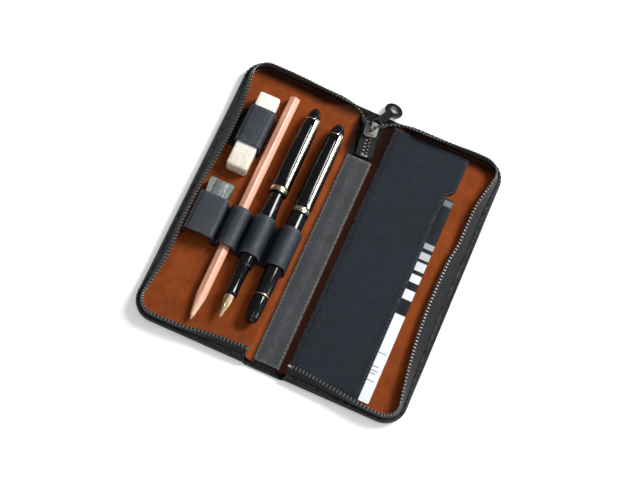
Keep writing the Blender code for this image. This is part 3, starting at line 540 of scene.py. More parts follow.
def lerp(a, b, t):
    return a + (b - a) * t


def spaced(low, high, step):
    """Evenly spaced values from low to high, at most step apart."""
    count = max(1, math.ceil(abs(high - low) / step - 1e-9))
    return [lerp(low, high, k / count) for k in range(count + 1)]


def turns(count):
    """Angles evenly spaced round a circle."""
    return [2 * math.pi * k / count for k in range(count)]


def squared(value, power):
    """A sine or cosine pushed out, which turns a circle into a rounded box."""
    return math.copysign(abs(value) ** power, value)


def turned(piece, profile, x, z, sides):
    """Spin (y, radius) points about a line along Y. Radius 0 makes a pole."""
    rows, runs = [], []
    length = 0.0
    for k, (y, radius) in enumerate(profile):
        if k:
            length += math.dist(profile[k - 1], (y, radius))
        rows.append([(x + radius * math.cos(a), y, z + radius * math.sin(a)) for a in turns(sides)])
        runs.append([(length, radius * a) for a in turns(sides)])
    piece.grid(rows, wrap=True, runs=runs)


def spun(name, body, look, profile, x, sides, z=PEN_Z, **making):
    """A whole piece that is spun about a line along Y."""
    piece = Piece(look)
    turned(piece, profile, x, z, sides)
    piece.make(name, body, **making)


def counted_from(base, points):
    """Points whose first number is counted from base."""
    return [(base + first, *rest) for first, *rest in points]


def round_corner(before, corner, after, radius, most, steps):
    """Points on a curve round a corner, which takes at most a share of the sides beside it."""
    a, b, c = Vector(before), Vector(corner), Vector(after)
    reach = min(radius, (a - b).length * most, (c - b).length * most)
    start, end = b + (a - b).normalized() * reach, b + (c - b).normalized() * reach
    shares = [k / steps for k in range(steps + 1)]
    return [tuple((1 - t) ** 2 * start + 2 * t * (1 - t) * b + t * t * end) for t in shares]


def rounded(profile, radius, steps=3):
    """A profile with its inner corners rounded off."""
    out = [profile[0]]
    for corner in zip(profile, profile[1:], profile[2:]):
        out += round_corner(*corner, radius, 0.45, steps)
    return out + [profile[-1]]


def ribbon(piece, path, thickness, low, high, pinch):
    """A strap with rounded edges. path is (x, z) points along its inner face, and it reaches from y low to high.
    pinch is how far its edges draw in where it stands up off the floor."""
    half, r = thickness / 2, 0.38 * thickness
    points = [Vector(p) for p in path]
    floor = min(p.y for p in points)
    corner = [(r * (1 - math.cos(a)), r * math.sin(a)) for a in (0.0, math.pi / 4, math.pi / 2)]
    rows, runs, wear = [], [], []
    length = 0.0
    for k, at in enumerate(points):
        along = (points[min(k + 1, len(points) - 1)] - points[max(k - 1, 0)]).normalized()
        out = Vector((-along.y, along.x))
        if k:
            length += (at - points[k - 1]).length
        middle = at + out * half
        drawn = pinch * ease((at.y - floor) / 6.0)
        y0, y1 = low + drawn, high - drawn
        left = [(y0 + a, -half + r - b) for a, b in reversed(corner)] + [(y0 + a, half - r + b) for a, b in corner]
        right = [(y0 + y1 - y, v) for y, v in reversed(left)]
        inner = [lerp(y0 + r, y1 - r, j / 9) for j in range(1, 9)]
        loop = left + [(y, half) for y in inner] + right + [(y, -half) for y in reversed(inner)]
        rows.append([(middle.x + out.x * v, y, middle.y + out.y * v) for y, v in loop])
        runs.append([(length, y) for y, v in loop])
        wear.append([1.0 if min(y - y0, y1 - y) < r + 0.05 else 0.1 for y, v in loop])
    piece.grid(rows, wrap=True, caps=True, runs=runs, wear=wear)


def stitches(piece, where, start, stop, thread):
    """A row of stitches. where(s) gives a point and the surface's normal s millimetres along the row."""
    pitch, length, radius = thread
    count = max(1, int(abs(stop - start) // pitch))
    for k in range(count):
        first = start + (stop - start) * k / count + 0.5 * (pitch - length)
        rows, runs = [], []
        for step in range(6):
            t = step / 5
            at, normal = where(first + length * t)
            ahead, _ = where(first + length * t + 0.05)
            along = (Vector(ahead) - Vector(at)).normalized()
            normal = Vector(normal).normalized()
            across = along.cross(normal).normalized()
            swell = math.sin(math.pi * (0.12 + 0.76 * t))
            middle = Vector(at) + normal * radius * (1.5 * swell - 0.75)
            thick = radius * (0.55 + 0.45 * swell)
            rows.append([middle + (across * math.cos(a) + normal * math.sin(a)) * thick for a in turns(7)])
            runs.append([(length * t, radius * j) for j in range(7)])
        piece.grid(rows, wrap=True, caps=True, runs=runs)


def sew(name, body, rows, look="black_thread"):
    """One piece of thread. Each of its rows is what stitches() takes."""
    seam = Piece(look)
    for row in rows:
        stitches(seam, *row)
    seam.make(name, body)


def straight(x, z):
    """The place of stitches that run along Y."""
    return lambda s: ((x, s, z), UP)


# ---------------------------------------------------------------- the path round a half's edge

def through(knots, at):
    """A smooth curve through (place, value) knots, level at both ends."""
    last = len(knots) - 1
    k = next((i for i in range(last) if at <= knots[i + 1][0]), last - 1)

    def slope(i):
        if i in (0, last):
            return 0.0
        return (knots[i + 1][1] - knots[i - 1][1]) / (knots[i + 1][0] - knots[i - 1][0])

    span = knots[k + 1][0] - knots[k][0]
    t = min(max((at - knots[k][0]) / span, 0.0), 1.0)
    bend = t * (1 - t) * span * ((1 - t) * slope(k) - t * slope(k + 1))
    return lerp(knots[k][1], knots[k + 1][1], ease(t)) + bend


def edge_place(s, side):
    """A place on a half's outer edge, as if on the right half, s millimetres from the upper hinge.
    Below 0 it lies on the spine."""
    short = min(s, EDGE_RUN - s)
    if short <= TOP_RUN:
        x, y, nx, ny = HINGE_X + short, HALF_LENGTH, 0.0, -1.0
    elif short <= TOP_RUN + ARC_RUN:
        turn = math.pi / 2 - (short - TOP_RUN) / CORNER_R
        nx, ny = -math.cos(turn), -math.sin(turn)
        x, y = HALF_SPAN - CORNER_R * (1 + nx), HALF_LENGTH - CORNER_R * (1 + ny)
    else:
        x, y, nx, ny = HALF_SPAN, HALF_LENGTH - CORNER_R - (short - TOP_RUN - ARC_RUN), -1.0, 0.0
    if short != s:
        y, ny = -y, -ny
    return {"x": x, "y": y, "nx": nx, "ny": ny, "away": x - HINGE_X,
            "lean": through(LEAN[side], s), "crest": through(CREST[side], s)}


def wall_point(place, inset, z, side):
    """A point of a half's wall, inset from its outer face at height z, leaning in as the wall does there."""
    share = min(max((z - LEAN_FROM) / (place["crest"] - LEAN_FROM), 0.0), 1.1) ** LEAN_CURVE
    depth = inset + place["lean"] * share
    return (side * (place["x"] + place["nx"] * depth), place["y"] + place["ny"] * depth, z)


def rise(place, upper=WALL_UPPER_RISE, lower=WALL_LOWER_RISE):
    """How far a wall has risen from the hinge, from 0 to 1: slowly beside the slider, steeply at the other end."""
    start, length = upper if place["y"] > 0 else lower
    return ease((place["away"] - start) / length)


def cover_height(place):
    """The height of the cover's wall, which ends below the zip's tape."""
    return lerp(1.55, 7.0 * place["crest"] / RIM_HEIGHT, rise(place, COVER_UPPER_RISE, COVER_LOWER_RISE))


def rim_height(place):
    """The height of the teeth on the tape's edge, the top of the wall."""
    return lerp(RIM_START, place["crest"], rise(place))


def lining_height(place):
    """The height of the lining's top along the wall."""
    return lerp(2.6, 6.4, rise(place))


def edge_steps(start, end):
    """Stations from start past the upper hinge to end short of the lower one, close together at the folds and
    corners."""
    arc = spaced(TOP_RUN, TOP_RUN + ARC_RUN, 1.6)[1:]
    half = spaced(TOP_RUN + ARC_RUN, EDGE_RUN / 2, 3.0)[1:]

    def to_middle(first):
        fold = [s for s in [-7.5] + spaced(-4.0, 8.0, 0.5) if s > first]
        return sorted(set(round(s, 4) for s in [first] + fold + spaced(8.0, TOP_RUN, 2.5))) + arc + half
    return to_middle(start) + [EDGE_RUN - s for s in reversed(to_middle(end)[:-1])]


def tray(piece, section, start, floor, side):
    """A tray with a shaped edge: the section is swept round the edge, and flat faces close it above and below.
    section(place) gives (inset, z, wear) from the underside round to the top; floor(x) gives the two heights.
    Its runs are the places at rest, which the lining's painted shade is laid out by."""
    steps = edge_steps(start, start)
    places = [edge_place(s, side) for s in steps]
    rows, runs, wear = [], [], []
    for place in places:
        row, run, worn = [], [], []
        for inset, z, rub in section(place):
            at = wall_point(place, inset, z, side)
            row.append(at)
            run.append((at[0], at[1]))
            worn.append(rub)
        rows.append(row)
        runs.append(run)
        wear.append(worn)
    ids = piece.grid(rows, runs=runs, wear=wear)
    corner = next(k for k, s in enumerate(steps) if s >= TOP_RUN + ARC_RUN - 1e-6)
    straight_half = HALF_LENGTH - CORNER_R
    share = [(place["y"] + straight_half) / (2 * straight_half) for place in places[corner:len(steps) - corner]]
    nets = []
    for column, height in ((0, 0), (-1, 1)):
        net = []
        for k in range(corner + 1):
            top, low = ids[k][column], ids[len(steps) - 1 - k][column]
            a, b = piece.points[top], piece.points[low]
            line = [top]
            x = a[0]
            z = floor(abs(x))[height] if k < corner else a[2]
            for t in share[1:-1]:
                y = lerp(b[1], a[1], t)
                line.append(piece.point((x, y, z), (x, y)))
            net.append(line + [low])
        for first, second in zip(net, net[1:]):
            for j in range(len(first) - 1):
                piece.face((first[j], first[j + 1], second[j + 1], second[j]))
        nets.append(net)
    under, over = nets
    piece.face(ids[0] + over[0][1:-1] + list(reversed(ids[-1])) + list(reversed(under[0][1:-1])))


# ---------------------------------------------------------------- leather, lining and spine

def cover_section(place):
    """The cover's edge as (inset, z, wear), from underneath, up its outer face and down inside."""
    h = cover_height(place)
    r = h - LEATHER
    outside = ((4.6, 0.0, 0.0), (3.0, 0.03, 0.25), (1.7, 0.09, 0.7), (0.85, 0.18, 1.0), (0.3, 0.33, 0.6),
               (0.05, 0.52, 0.15), (0.0, 0.75, 0.05))
    rim = [(0.0, h - 0.45, 0.5), (0.13, h - 0.13, 1.0), (0.45, h, 1.0), (0.95, h, 1.0), (1.27, h - 0.13, 0.6),
           (LEATHER, h - 0.45, 0.0)]
    inside = ((LEATHER, 0.68), (LEATHER, 0.45), (1.65, 0.25), (2.6, 0.07), (4.6, 0.0))
    return ([(inset, share * h, wear) for inset, share, wear in outside] + rim
            + [(inset, LEATHER + share * r, 0.0) for inset, share in inside])


def cover_floor(x):
    """The heights of the cover's underside, creased at the hinge, and of its upper face."""
    crease = 0.4 * math.exp(-((x - HINGE_X) / 0.8) ** 2)
    return crease, LEATHER


def fold_ends(side):
    """The ends of a fold's soft zone on the hinge line, in metres."""
    return (side * FOLD_FROM * MM, 0, HINGE_Z * MM), (side * FOLD_TO * MM, 0, HINGE_Z * MM)


def make_skin(name, side):
    """A half's leather cover and the stitches along its wall."""
    piece = Piece("black_leather")
    tray(piece, cover_section, -HINGE_X, cover_floor, side)
    stood_for = [f"{name}_cover"] + (["spine_cover"] if side < 0 else [])
    piece.make(f"{name}_skin", "spine", sharp=60, replaces=stood_for,
               blend=(f"{name}_half", *fold_ends(side)))

    def where(s):
        place = edge_place(s, side)
        return wall_point(place, 0.0, cover_height(place) - 1.5, side), (-side * place["nx"], -place["ny"], 0.05)
    sew(f"{name}_skin_stitches", f"{name}_half", [(where, 12.0, EDGE_RUN - 12.0, COVER_THREAD)])


def lining_floor(x):
    """The heights of the lining's underside and upper face: it steps up from the spine on to the board."""
    up = ease((x - 8.9) / 4.4)
    top = lerp(1.66, FLOOR_Z, up)
    return min(top - 0.2, lerp(1.44, 3.0, up)), top


def lining_section(place):
    """The lining's edge as (inset, z, wear), from underneath, over its top and down a fillet to its floor."""
    low, floor = lining_floor(place["x"])
    top = max(lining_height(place), floor + 0.25)
    r = min(2.4, 0.75 * (top - floor))
    under = [(9.0, low, 0.0), (5.0, low, 0.0), (3.9, lerp(low, floor, 0.35), 0.0), (3.4, floor + 0.3, 0.0)]
    wall = [(3.4, lerp(floor + 0.3, top - 0.3, 0.5), 0.0), (3.4, top - 0.3, 0.0), (3.5, top - 0.05, 0.5),
            (3.8, top + 0.02, 0.8), (4.1, top - 0.05, 0.5), (LINING_FACE, top - 0.3, 0.2),
            (LINING_FACE, lerp(floor + r, top, 0.6), 0.0)]
    fillet = [(LINING_FACE + r * (1 - math.cos(a)), floor + r * (1 - math.sin(a)), 0.0)
              for a in (0, 0.4, 0.8, 1.2, math.pi / 2)]
    return under + wall + fillet + [(9.0, floor, 0.0)]


def make_lining(name, side):
    """A half's lining and the stitches along its top."""
    piece = Piece("tan_lining")
    tray(piece, lining_section, 7.6 - HINGE_X, lining_floor, side)
    piece.make(f"{name}_suede", "spine", sharp=50, replaces=[f"{name}_lining"],
               blend=(f"{name}_half", *fold_ends(side)))

    def where(s):
        place = edge_place(s, side)
        at = wall_point(place, LINING_FACE, lining_height(place) - 1.0, side)
        return at, (side * place["nx"], place["ny"], 0.1)
    sew(f"{name}_lining_stitches", f"{name}_half", [(where, 13.0, EDGE_RUN - 13.0, LINING_THREAD)])


def make_spine_strip():
    """The dark strip along the spine, thin at its edges and tucked down at its ends."""
    piece = Piece("spine_leather")
    low_y, high_y, half = -94.0, 63.3, 8.8
    rows, runs, wear = [], [], []
    for y in spaced(low_y, high_y, 2.5):
        end = min(y - low_y, high_y - y)
        drop = 0.25 * (1 - ease(end / 1.2))
        rim = [(0.1, 1.75), (0.0, 1.95), (0.12, 2.25), (0.5, SPINE_TOP)]
        row = [(-half + inset, z) for inset, z in rim]
        row += [(x, SPINE_TOP + 0.14 * (1 - (x / half) ** 2)) for x in spaced(-half + 1.1, half - 1.1, 1.6)]
        row += [(half - inset, z) for inset, z in reversed(rim)]
        rows.append([(x, y, z - drop * (z > 2)) for x, z in row])
        runs.append([(x, y) for x, z in row])
        wear.append([1.0 if abs(x) > half - 0.6 or end < 0.5 else 0.25 * (abs(x) < 3) for x, z in row])
    piece.grid(rows, wrap=True, caps=True, runs=runs, wear=wear)
    piece.make("spine_strip", "spine", replaces=["spine_liner"])
    sew("spine_stitches", "spine", [(straight(x, SPINE_TOP), low_y + 1.5, high_y - 1.0, PANEL_THREAD)
                                    for x in (-7.5, 7.5)], "grey_thread")


# ---------------------------------------------------------------- the zip

def tooth(piece, at, along, up):
    """One zip tooth clamped on the tape's bead. up points to the other chain."""
    across = along.cross(up).normalized()
    octagon = [(1, 0.6), (0.62, 1), (-0.62, 1), (-1, 0.6), (-1, -0.6), (-0.62, -1), (0.62, -1), (1, -0.6)]
    rows = []
    for height, wide, thick in TOOTH_RINGS:
        rows.append([at + up * height + along * (a * wide) + across * (b * thick) for a, b in octagon])
    piece.grid(rows, wrap=True, caps=True)


def chain_frame(s, side):
    """The bead of a half's tooth chain: its centre, its direction and the way its teeth point."""
    def under_rim(at, drop):
        place = edge_place(at, side)
        return Vector(wall_point(place, CHAIN_INSET, rim_height(place) - drop, side))
    middle = under_rim(s, 0.9)
    along = (under_rim(s + 0.1, 0.9) - under_rim(s - 0.1, 0.9)).normalized()
    up = middle - under_rim(s, 2.4)
    up = (up - along * up.dot(along)).normalized()
    return middle, along, up


def make_wall_zip(name, side):
    """A half's tooth chain with its end stop, and the tape that it is clamped to."""
    teeth = Piece("zip_metal")
    shift = 0.0 if side < 0 else PITCH / 2
    s = WALL_ENDS[0] + 0.7 + shift
    while s < EDGE_RUN - WALL_ENDS[1] - 2.0:
        tooth(teeth, *chain_frame(s, side))
        s += PITCH
    middle, along, up = chain_frame(EDGE_RUN - WALL_ENDS[1] + 0.2, side)
    rows = []
    for height, wide, thick in ((-1.5, 0.6, 0.9), (-1.3, 0.85, 1.1), (0.9, 0.85, 1.1), (1.15, 0.55, 0.8)):
        across = along.cross(up)
        rows.append([middle + up * height + along * wide * math.cos(a) + across * thick * math.sin(a)
                     for a in turns(12)])
    teeth.grid(rows, wrap=True, caps=True)
    teeth.make(f"{name}_zip_teeth", f"{name}_half", sharp=30, replaces=[f"{name}_teeth", f"{name}_top_stop"])
    tape = Piece("zip_tape")
    rows, runs = [], []
    for s in edge_steps(*WALL_ENDS):
        place = edge_place(s, side)
        top = rim_height(place)
        low = lerp(2.6, 4.4, rise(place, WALL_UPPER_RISE, COVER_LOWER_RISE))
        levels = [lerp(low, top - 1.6, k / 6) for k in range(7)]
        bead = [(0.55, top - 1.2), (0.5, top - 0.75), (0.0, top - 0.5), (-0.5, top - 0.75), (-0.55, top - 1.2)]
        row = [(CHAIN_INSET - 0.28, z) for z in levels] + [(CHAIN_INSET - b, z) for b, z in bead]
        row += [(CHAIN_INSET + 0.28, z) for z in reversed(levels)]
        rows.append([wall_point(place, inset, z, side) for inset, z in row])
        runs.append([(s, z) for inset, z in row])
    tape.grid(rows, wrap=True, caps=True, runs=runs)
    tape.make(f"{name}_zip_tape", f"{name}_half", replaces=[f"{name}_tape"])


def slider_matrix():
    """The slider's own frame: across it, along the chain and up."""
    along = (SLIDER_AT - TAIL_END).normalized()
    across = along.cross(UP).normalized()
    return Matrix.Translation(SLIDER_AT) @ Matrix((across, along, across.cross(along))).transposed().to_4x4()


def pull_matrix():
    """The pull's own frame at its pin: along it, across it and up."""
    pivot = slider_matrix() @ Vector((0.0, 1.9, 4.6))
    level = (PULL_HEAD_AT - pivot.to_2d()).normalized()
    along = Vector((level.x * math.cos(PULL_SLOPE), level.y * math.cos(PULL_SLOPE), math.sin(PULL_SLOPE)))
    across = UP.cross(along).normalized()
    return Matrix.Translation(pivot) @ Matrix((along, across, along.cross(across))).transposed().to_4x4()


def make_tail():
    """The closed end of the zip, which runs down from the slider on to the spine."""
    to_world = slider_matrix()
    turn = to_world.to_3x3()
    length = (SLIDER_AT - TAIL_END).length

    def row_x(y):
        return 0.95 + 1.3 * ease((y + 7.0) / 5.0)

    teeth = Piece("zip_metal")
    tape = Piece("zip_tape")
    for side in (-1, 1):
        y = -length + 1.0 + (PITCH / 2 if side > 0 else 0.0)
        while y < 3.0:
            at = to_world @ Vector((side * row_x(y), y, 0))
            tooth(teeth, at, turn @ Vector((0, 1, 0)), turn @ Vector((-side, 0, 0)))
            y += PITCH
        rows, runs = [], []
        for y in spaced(-length - 0.6, 3.2, 1.2):
            inner = row_x(y)
            sag = 0.14 * math.sin(0.9 * y + side)
            face = [(inner, 0.5, 0), (inner + 0.45, 0.48, 0), (inner + 0.8, 0.26, 0), (3.8, 0.24, 0),
                    (4.6, 0.22, sag / 2), (5.2, 0.2, sag)]
            line = [(x, half + wave) for x, half, wave in face] + [(5.4, sag)]
            line += [(x, wave - half) for x, half, wave in reversed(face)] + [(inner - 0.25, 0.0)]
            rows.append([to_world @ Vector((side * x, y, z)) for x, z in line])
            runs.append([(y, x) for x, z in line])
        tape.grid(rows, wrap=True, caps=True, runs=runs)
    rows = []
    for height, grow in ((-1.15, 0.7), (-0.95, 1.0), (0.95, 1.0), (1.15, 0.7)):
        row = []
        for a in turns(20):
            across = 2.7 * grow * max(-0.9, min(0.9, 1.25 * math.cos(a)))
            along = 0.85 * grow * max(-0.85, min(0.85, 1.3 * math.sin(a)))
            row.append(to_world @ Vector((across, -length - 0.1 + along, height)))
        rows.append(row)
    teeth.grid(rows, wrap=True, caps=True)
    teeth.make("tail_zip_teeth", "spine", sharp=30, replaces=["tail_teeth_left", "tail_teeth_right", "tail_end_stop"])
    tape.make("tail_zip_tape", "spine", replaces=["tail_tape_left", "tail_tape_right"])


def bridge_frame(t, side):
    """The chain between the slider's mouth and the wall, at t from 0 to 1: its bead, its direction, the way its
    teeth point and the tape's outer edge."""
    to_world = slider_matrix()
    turn = to_world.to_3x3()
    start = to_world @ Vector((side * 2.25, 4.2, -0.7))
    end, _, end_up = chain_frame(WALL_ENDS[0] + 0.2, side)
    first = start + turn @ Vector((side * 2.6, 2.4, -3.6))
    last = end - Vector((side * 7.0, 1.9, 1.3))

    def at(v):
        return (1 - v) ** 3 * start + 3 * v * (1 - v) ** 2 * first + 3 * v * v * (1 - v) * last + v ** 3 * end
    middle = at(t)
    along = (at(min(t + 0.01, 1)) - at(max(t - 0.01, 0))).normalized()
    up = (turn @ Vector((-side, 0.0, 0.0))).lerp(end_up, ease(t * 1.15))
    up = (up - along * up.dot(along)).normalized()
    place = edge_place(WALL_ENDS[0], side)
    edge_start = to_world @ Vector((side * 5.4, 3.6, -1.2))
    edge_end = Vector(wall_point(place, CHAIN_INSET, 2.6, side))
    edge = edge_start.lerp(edge_end, t)
    edge.y = lerp(edge_start.y, edge_end.y, ease(t * 1.6))
    edge.z = lerp(edge_start.z, edge_end.z, ease(t * 1.5))
    return middle, along, up, edge


def make_bridge(name, side):
    """The zip's soft run from the slider to a half's wall."""
    start, end = (side * 6.0 * MM, 0, HINGE_Z * MM), (side * 16.5 * MM, 0, HINGE_Z * MM)
    teeth, tape = Piece("zip_metal"), Piece("zip_tape")
    beads = [bridge_frame(k / 20, side)[0] for k in range(21)]
    length = sum((b - a).length for a, b in zip(beads, beads[1:]))
    count = int(length / PITCH)
    for k in range(count):
        middle, along, up, _ = bridge_frame((k + (0.35 if side < 0 else 0.75)) / count, side)
        tooth(teeth, middle, along, up)
    rows, runs = [], []
    for k in range(25):
        middle, along, up, edge = bridge_frame(k / 24, side)
        across = along.cross(up).normalized()
        down = edge - middle
        line, run = [], []
        for share, thick in ((0.0, 0.5), (0.12, 0.45), (0.2, 0.26), (0.45, 0.25), (0.7, 0.25), (1.0, 0.22)):
            line.append((middle + down * share, thick))
            run.append((k / 24 * length, share * down.length))
        wall = across if across.z - across.y >= 0 else -across
        front = [p + wall * thick for p, thick in line]
        back = [p - wall * thick for p, thick in reversed(line)]
        rows.append(front + back)
        runs.append(run + run[::-1])
    tape.grid(rows, wrap=True, caps=True, runs=runs)
    teeth.make(f"{name}_bridge_teeth", "spine", sharp=30, blend=(f"{name}_half", start, end))
    tape.make(f"{name}_bridge_tape", "spine", blend=(f"{name}_half", start, end))


def plate(outlines, thickness, bevel):
    """A flat plate with rounded edges and holes, as a mesh in its own frame: the first outline is its outside."""
    curve = bpy.data.curves.new("outline", "CURVE")
    curve.dimensions = "2D"
    curve.fill_mode = "BOTH"
    curve.extrude = (thickness / 2 - bevel) * MM
    curve.bevel_depth = bevel * MM
    curve.bevel_resolution = 3
    curve.offset = -bevel * MM
    for outline in outlines:
        spline = curve.splines.new("POLY")
        spline.points.add(len(outline) - 1)
        for point, (x, y) in zip(spline.points, outline):
            point.co = (x * MM, y * MM, 0, 1)
        spline.use_cyclic_u = True
    holder = bpy.data.objects.new("outline", curve)
    bpy.context.scene.collection.objects.link(holder)
    bpy.context.view_layer.update()
    mesh = bpy.data.meshes.new_from_object(holder.evaluated_get(bpy.context.evaluated_depsgraph_get()))
    bpy.data.objects.remove(holder)
    bpy.data.curves.remove(curve)
    return mesh


def joined(name, parts, body, look, replaces):
    """One object from several (mesh, matrix) parts. Matrices are in metres."""
    shape = bmesh.new()
    for mesh, matrix in parts:
        part = mesh.copy()
        clean(part, matrix=matrix)
        shape.from_mesh(part)
        bpy.data.meshes.remove(part)
    whole = bpy.data.meshes.new(name)
    shape.to_mesh(whole)
    shape.free()
    whole.materials.clear()
    whole.materials.append(LOOKS[look])
    settle(name, whole, 35, body, replaces)


def in_metres(matrix):
    """A frame in millimetres, for a mesh in metres."""
    moved = matrix.copy()
    moved.translation = matrix.translation * MM
    return moved


def arc_points(centre, radius, angles):
    return [(centre[0] + radius * math.cos(a), centre[1] + radius * math.sin(a)) for a in angles]


def round_outline(corners, radius):
    """A closed outline with rounded corners."""
    out = []
    for k, corner in enumerate(corners):
        out += round_corner(corners[k - 1], corner, corners[(k + 1) % len(corners)], radius, 0.48, 4)
    return out


def rectangle(x0, y0, x1, y1, radius):
    return round_outline([(x0, y0), (x1, y0), (x1, y1), (x0, y1)], radius)


def make_slider():
    """Two shields with lips between them for the chain, the post that parts it, and the pull's crown."""
    base = in_metres(slider_matrix())
    shield = [(3.3, -5.3), (4.5, -4.2), (4.5, 3.1), (2.6, 5.4), (-2.6, 5.4), (-4.5, 3.1), (-4.5, -4.2), (-3.3, -5.3)]
    body = plate([round_outline(shield, 1.2)], 1.05, 0.3)
    cap = plate([round_outline([(x * 0.72, y * 0.74) for x, y in shield], 1.2)], 0.5, 0.22)
    parts = [(body, base @ Matrix.Translation((0, 0, z * MM))) for z in (1.7, -1.7)]
    parts.append((cap, base @ Matrix.Translation((0, 0, 2.35 * MM))))
    lip = plate([round_outline([(-0.5, -4.6), (0.5, -4.4), (0.5, 3.0), (-0.5, 3.2)], 0.4)], 0.9, 0.2)
    for x in (-3.95, 3.95):
        for z in (0.95, -0.95):
            parts.append((lip, base @ Matrix.Translation((x * MM, 0, z * MM))))
    post = plate([round_outline([(0.0, 0.6), (1.1, 3.2), (1.1, 4.6), (-1.1, 4.6), (-1.1, 3.2)], 0.4)], 2.6, 0.1)
    parts.append((post, base))
    crown = Piece("zip_metal")
    path = rounded([(-1.4, 2.1), (-1.4, 5.9), (3.95, 5.9), (3.95, 2.1)], 1.3, 6)
    rows = []
    for k, (y, z) in enumerate(path):
        before, after = path[max(k - 1, 0)], path[min(k + 1, len(path) - 1)]
        along = (Vector(after) - Vector(before)).normalized()
        out = Vector((-along.y, along.x))
        rows.append([(x, y + out.x * v, z + out.y * v) for x, v in
                     ((-0.9, -0.25), (-0.9, 0.25), (-0.65, 0.47), (0.65, 0.47),
                      (0.9, 0.25), (0.9, -0.25), (0.65, -0.47), (-0.65, -0.47))])
    crown.grid(rows, wrap=True, caps=True)
    parts.append((crown.mesh("crown"), base))
    joined("slider_casting", parts, "slider", "zip_metal", ["slider_body"])


def make_pull():
    """The pull's tab, with a window by the slider and a round head, and the bright ring in its head."""
    frame_at = pull_matrix()
    head = (PULL_HEAD_AT - frame_at.translation.to_2d()).length / math.cos(PULL_SLOPE)
    head_r, open_to = 6.3, math.radians(152)
    neck = [(-0.5, 2.7), (0.0, 3.2), (5.2, 3.2), (8.8, 2.5)]
    sweep = [lerp(-open_to, open_to, k / 30) for k in range(31)]
    outline = [(x, -y) for x, y in neck] + arc_points((head, 0), head_r, sweep) + neck[::-1]
    window, hole = rectangle(0.6, -2.1, 6.2, 2.1, 1.2), arc_points((head, 0), 3.0, turns(28))
    tab = plate([outline, window, hole], 1.0, 0.3)
    joined("pull_plate", [(tab, in_metres(frame_at))], "pull", "pull_metal", ["pull_tab"])
    ring = Piece("zip_metal")
    rows = []
    for a in turns(36):
        row = []
        for b in turns(12):
            r = 2.32 + 0.5 * math.cos(b)
            row.append(frame_at @ Vector((head + r * math.cos(a), r * math.sin(a), 0.85 * math.sin(b))))
        rows.append(row)
    rows.append(rows[0])
    ring.grid(rows, wrap=True)
    ring.make("pull_eyelet", "pull", replaces=["pull_ring"])


# ---------------------------------------------------------------- loops and pocket

def loop_path(x, half, top, corner, low):
    """Inner face of a strap over one item, from the left foot to the right one, as (x, z) points."""
    path = [(x - half, low + 0.9)]
    for centre, first in ((x - half + corner, 180), (x + half - corner, 90)):
        for k in range(9):
            turn = math.radians(first - 11.25 * k)
            path.append((centre + corner * math.cos(turn), top - corner + corner * math.sin(turn)))
    path.append((x + half, low + 0.9))
    return path


def strap(loops, left_end, right_end):
    """The (x, z) line of a strap's inner face over several items, with small curves where it meets the floor."""
    line = [(left_end, REST_Z)]
    foot = ((0.9, 0.0), (0.35, 0.12), (0.06, 0.45))
    for loop in loops:
        sweep = loop_path(*loop, REST_Z)
        line += [(sweep[0][0] - out, REST_Z + up) for out, up in foot] + sweep
        line += [(sweep[-1][0] + out, REST_Z + up) for out, up in reversed(foot)]
    line.append((right_end, REST_Z))
    return [p for k, p in enumerate(line) if k == 0 or math.dist(p, line[k - 1]) > 0.05]


def make_strap(name, loops, ends, reach, seams, stood_for):
    """A strap sewn down between its loops. Each loop is its item's x, and its half width, top and corner radius."""
    thickness = 1.3
    piece = Piece("loop_leather")
    ribbon(piece, strap(loops, *ends), thickness, *reach, pinch=0.35)
    piece.make(name, "left_half", sharp=50, replaces=stood_for)
    top, first, last = REST_Z + thickness + 0.04, reach[0] + 1.2, reach[1] - 1.0
    sew(f"{name}_stitches", "left_half", [(straight(x, top), first, last, STRAP_THREAD) for x in seams])


def make_loops():
    """The long strap over the sharpener, pencil and pens, and the short one over the eraser."""
    loops = [(SHARPENER_X, 8.9, 13.8, 2.0), (PENCIL_X, 6.0, 13.2, 5.2)]
    loops += [(pen["x"], 6.0, 16.3, 6.0) for pen in PENS.values()]
    make_strap("tool_strap", loops, (-84.0, -12.45), (-36.5, -7.0), (-62.35, -46.2, -29.3, -27.9),
               ["sharpener_loop", "pencil_loop", "pen_loop_1", "pen_loop_2"])
    make_strap("eraser_strap", [(ERASER_X, 7.6, 15.6, 2.0)], (-82.2, -59.9), (33.5, 62.5), (-80.4,), ["eraser_loop"])


def open_edge(y):
    """Where the pocket's open edge lies: it is scooped back over the ruler."""
    return lerp(PANEL[1], 66.8, ease((y - 61.5) / 5.0))


def panel_height(x, y):
    """The middle of the pocket's leather: down on its three sewn sides, up along its open side."""
    x0, _, y0, y1 = PANEL
    sewn = min(x - x0, y - y0, y1 - y)
    lift = 0.1 * math.sin(math.pi * min(max((y - y0) / (y1 - y0), 0), 1)) * ease((x - 30) / 30)
    return lerp(4.62, 5.62, ease((sewn - 0.4) / 3.2)) + lift


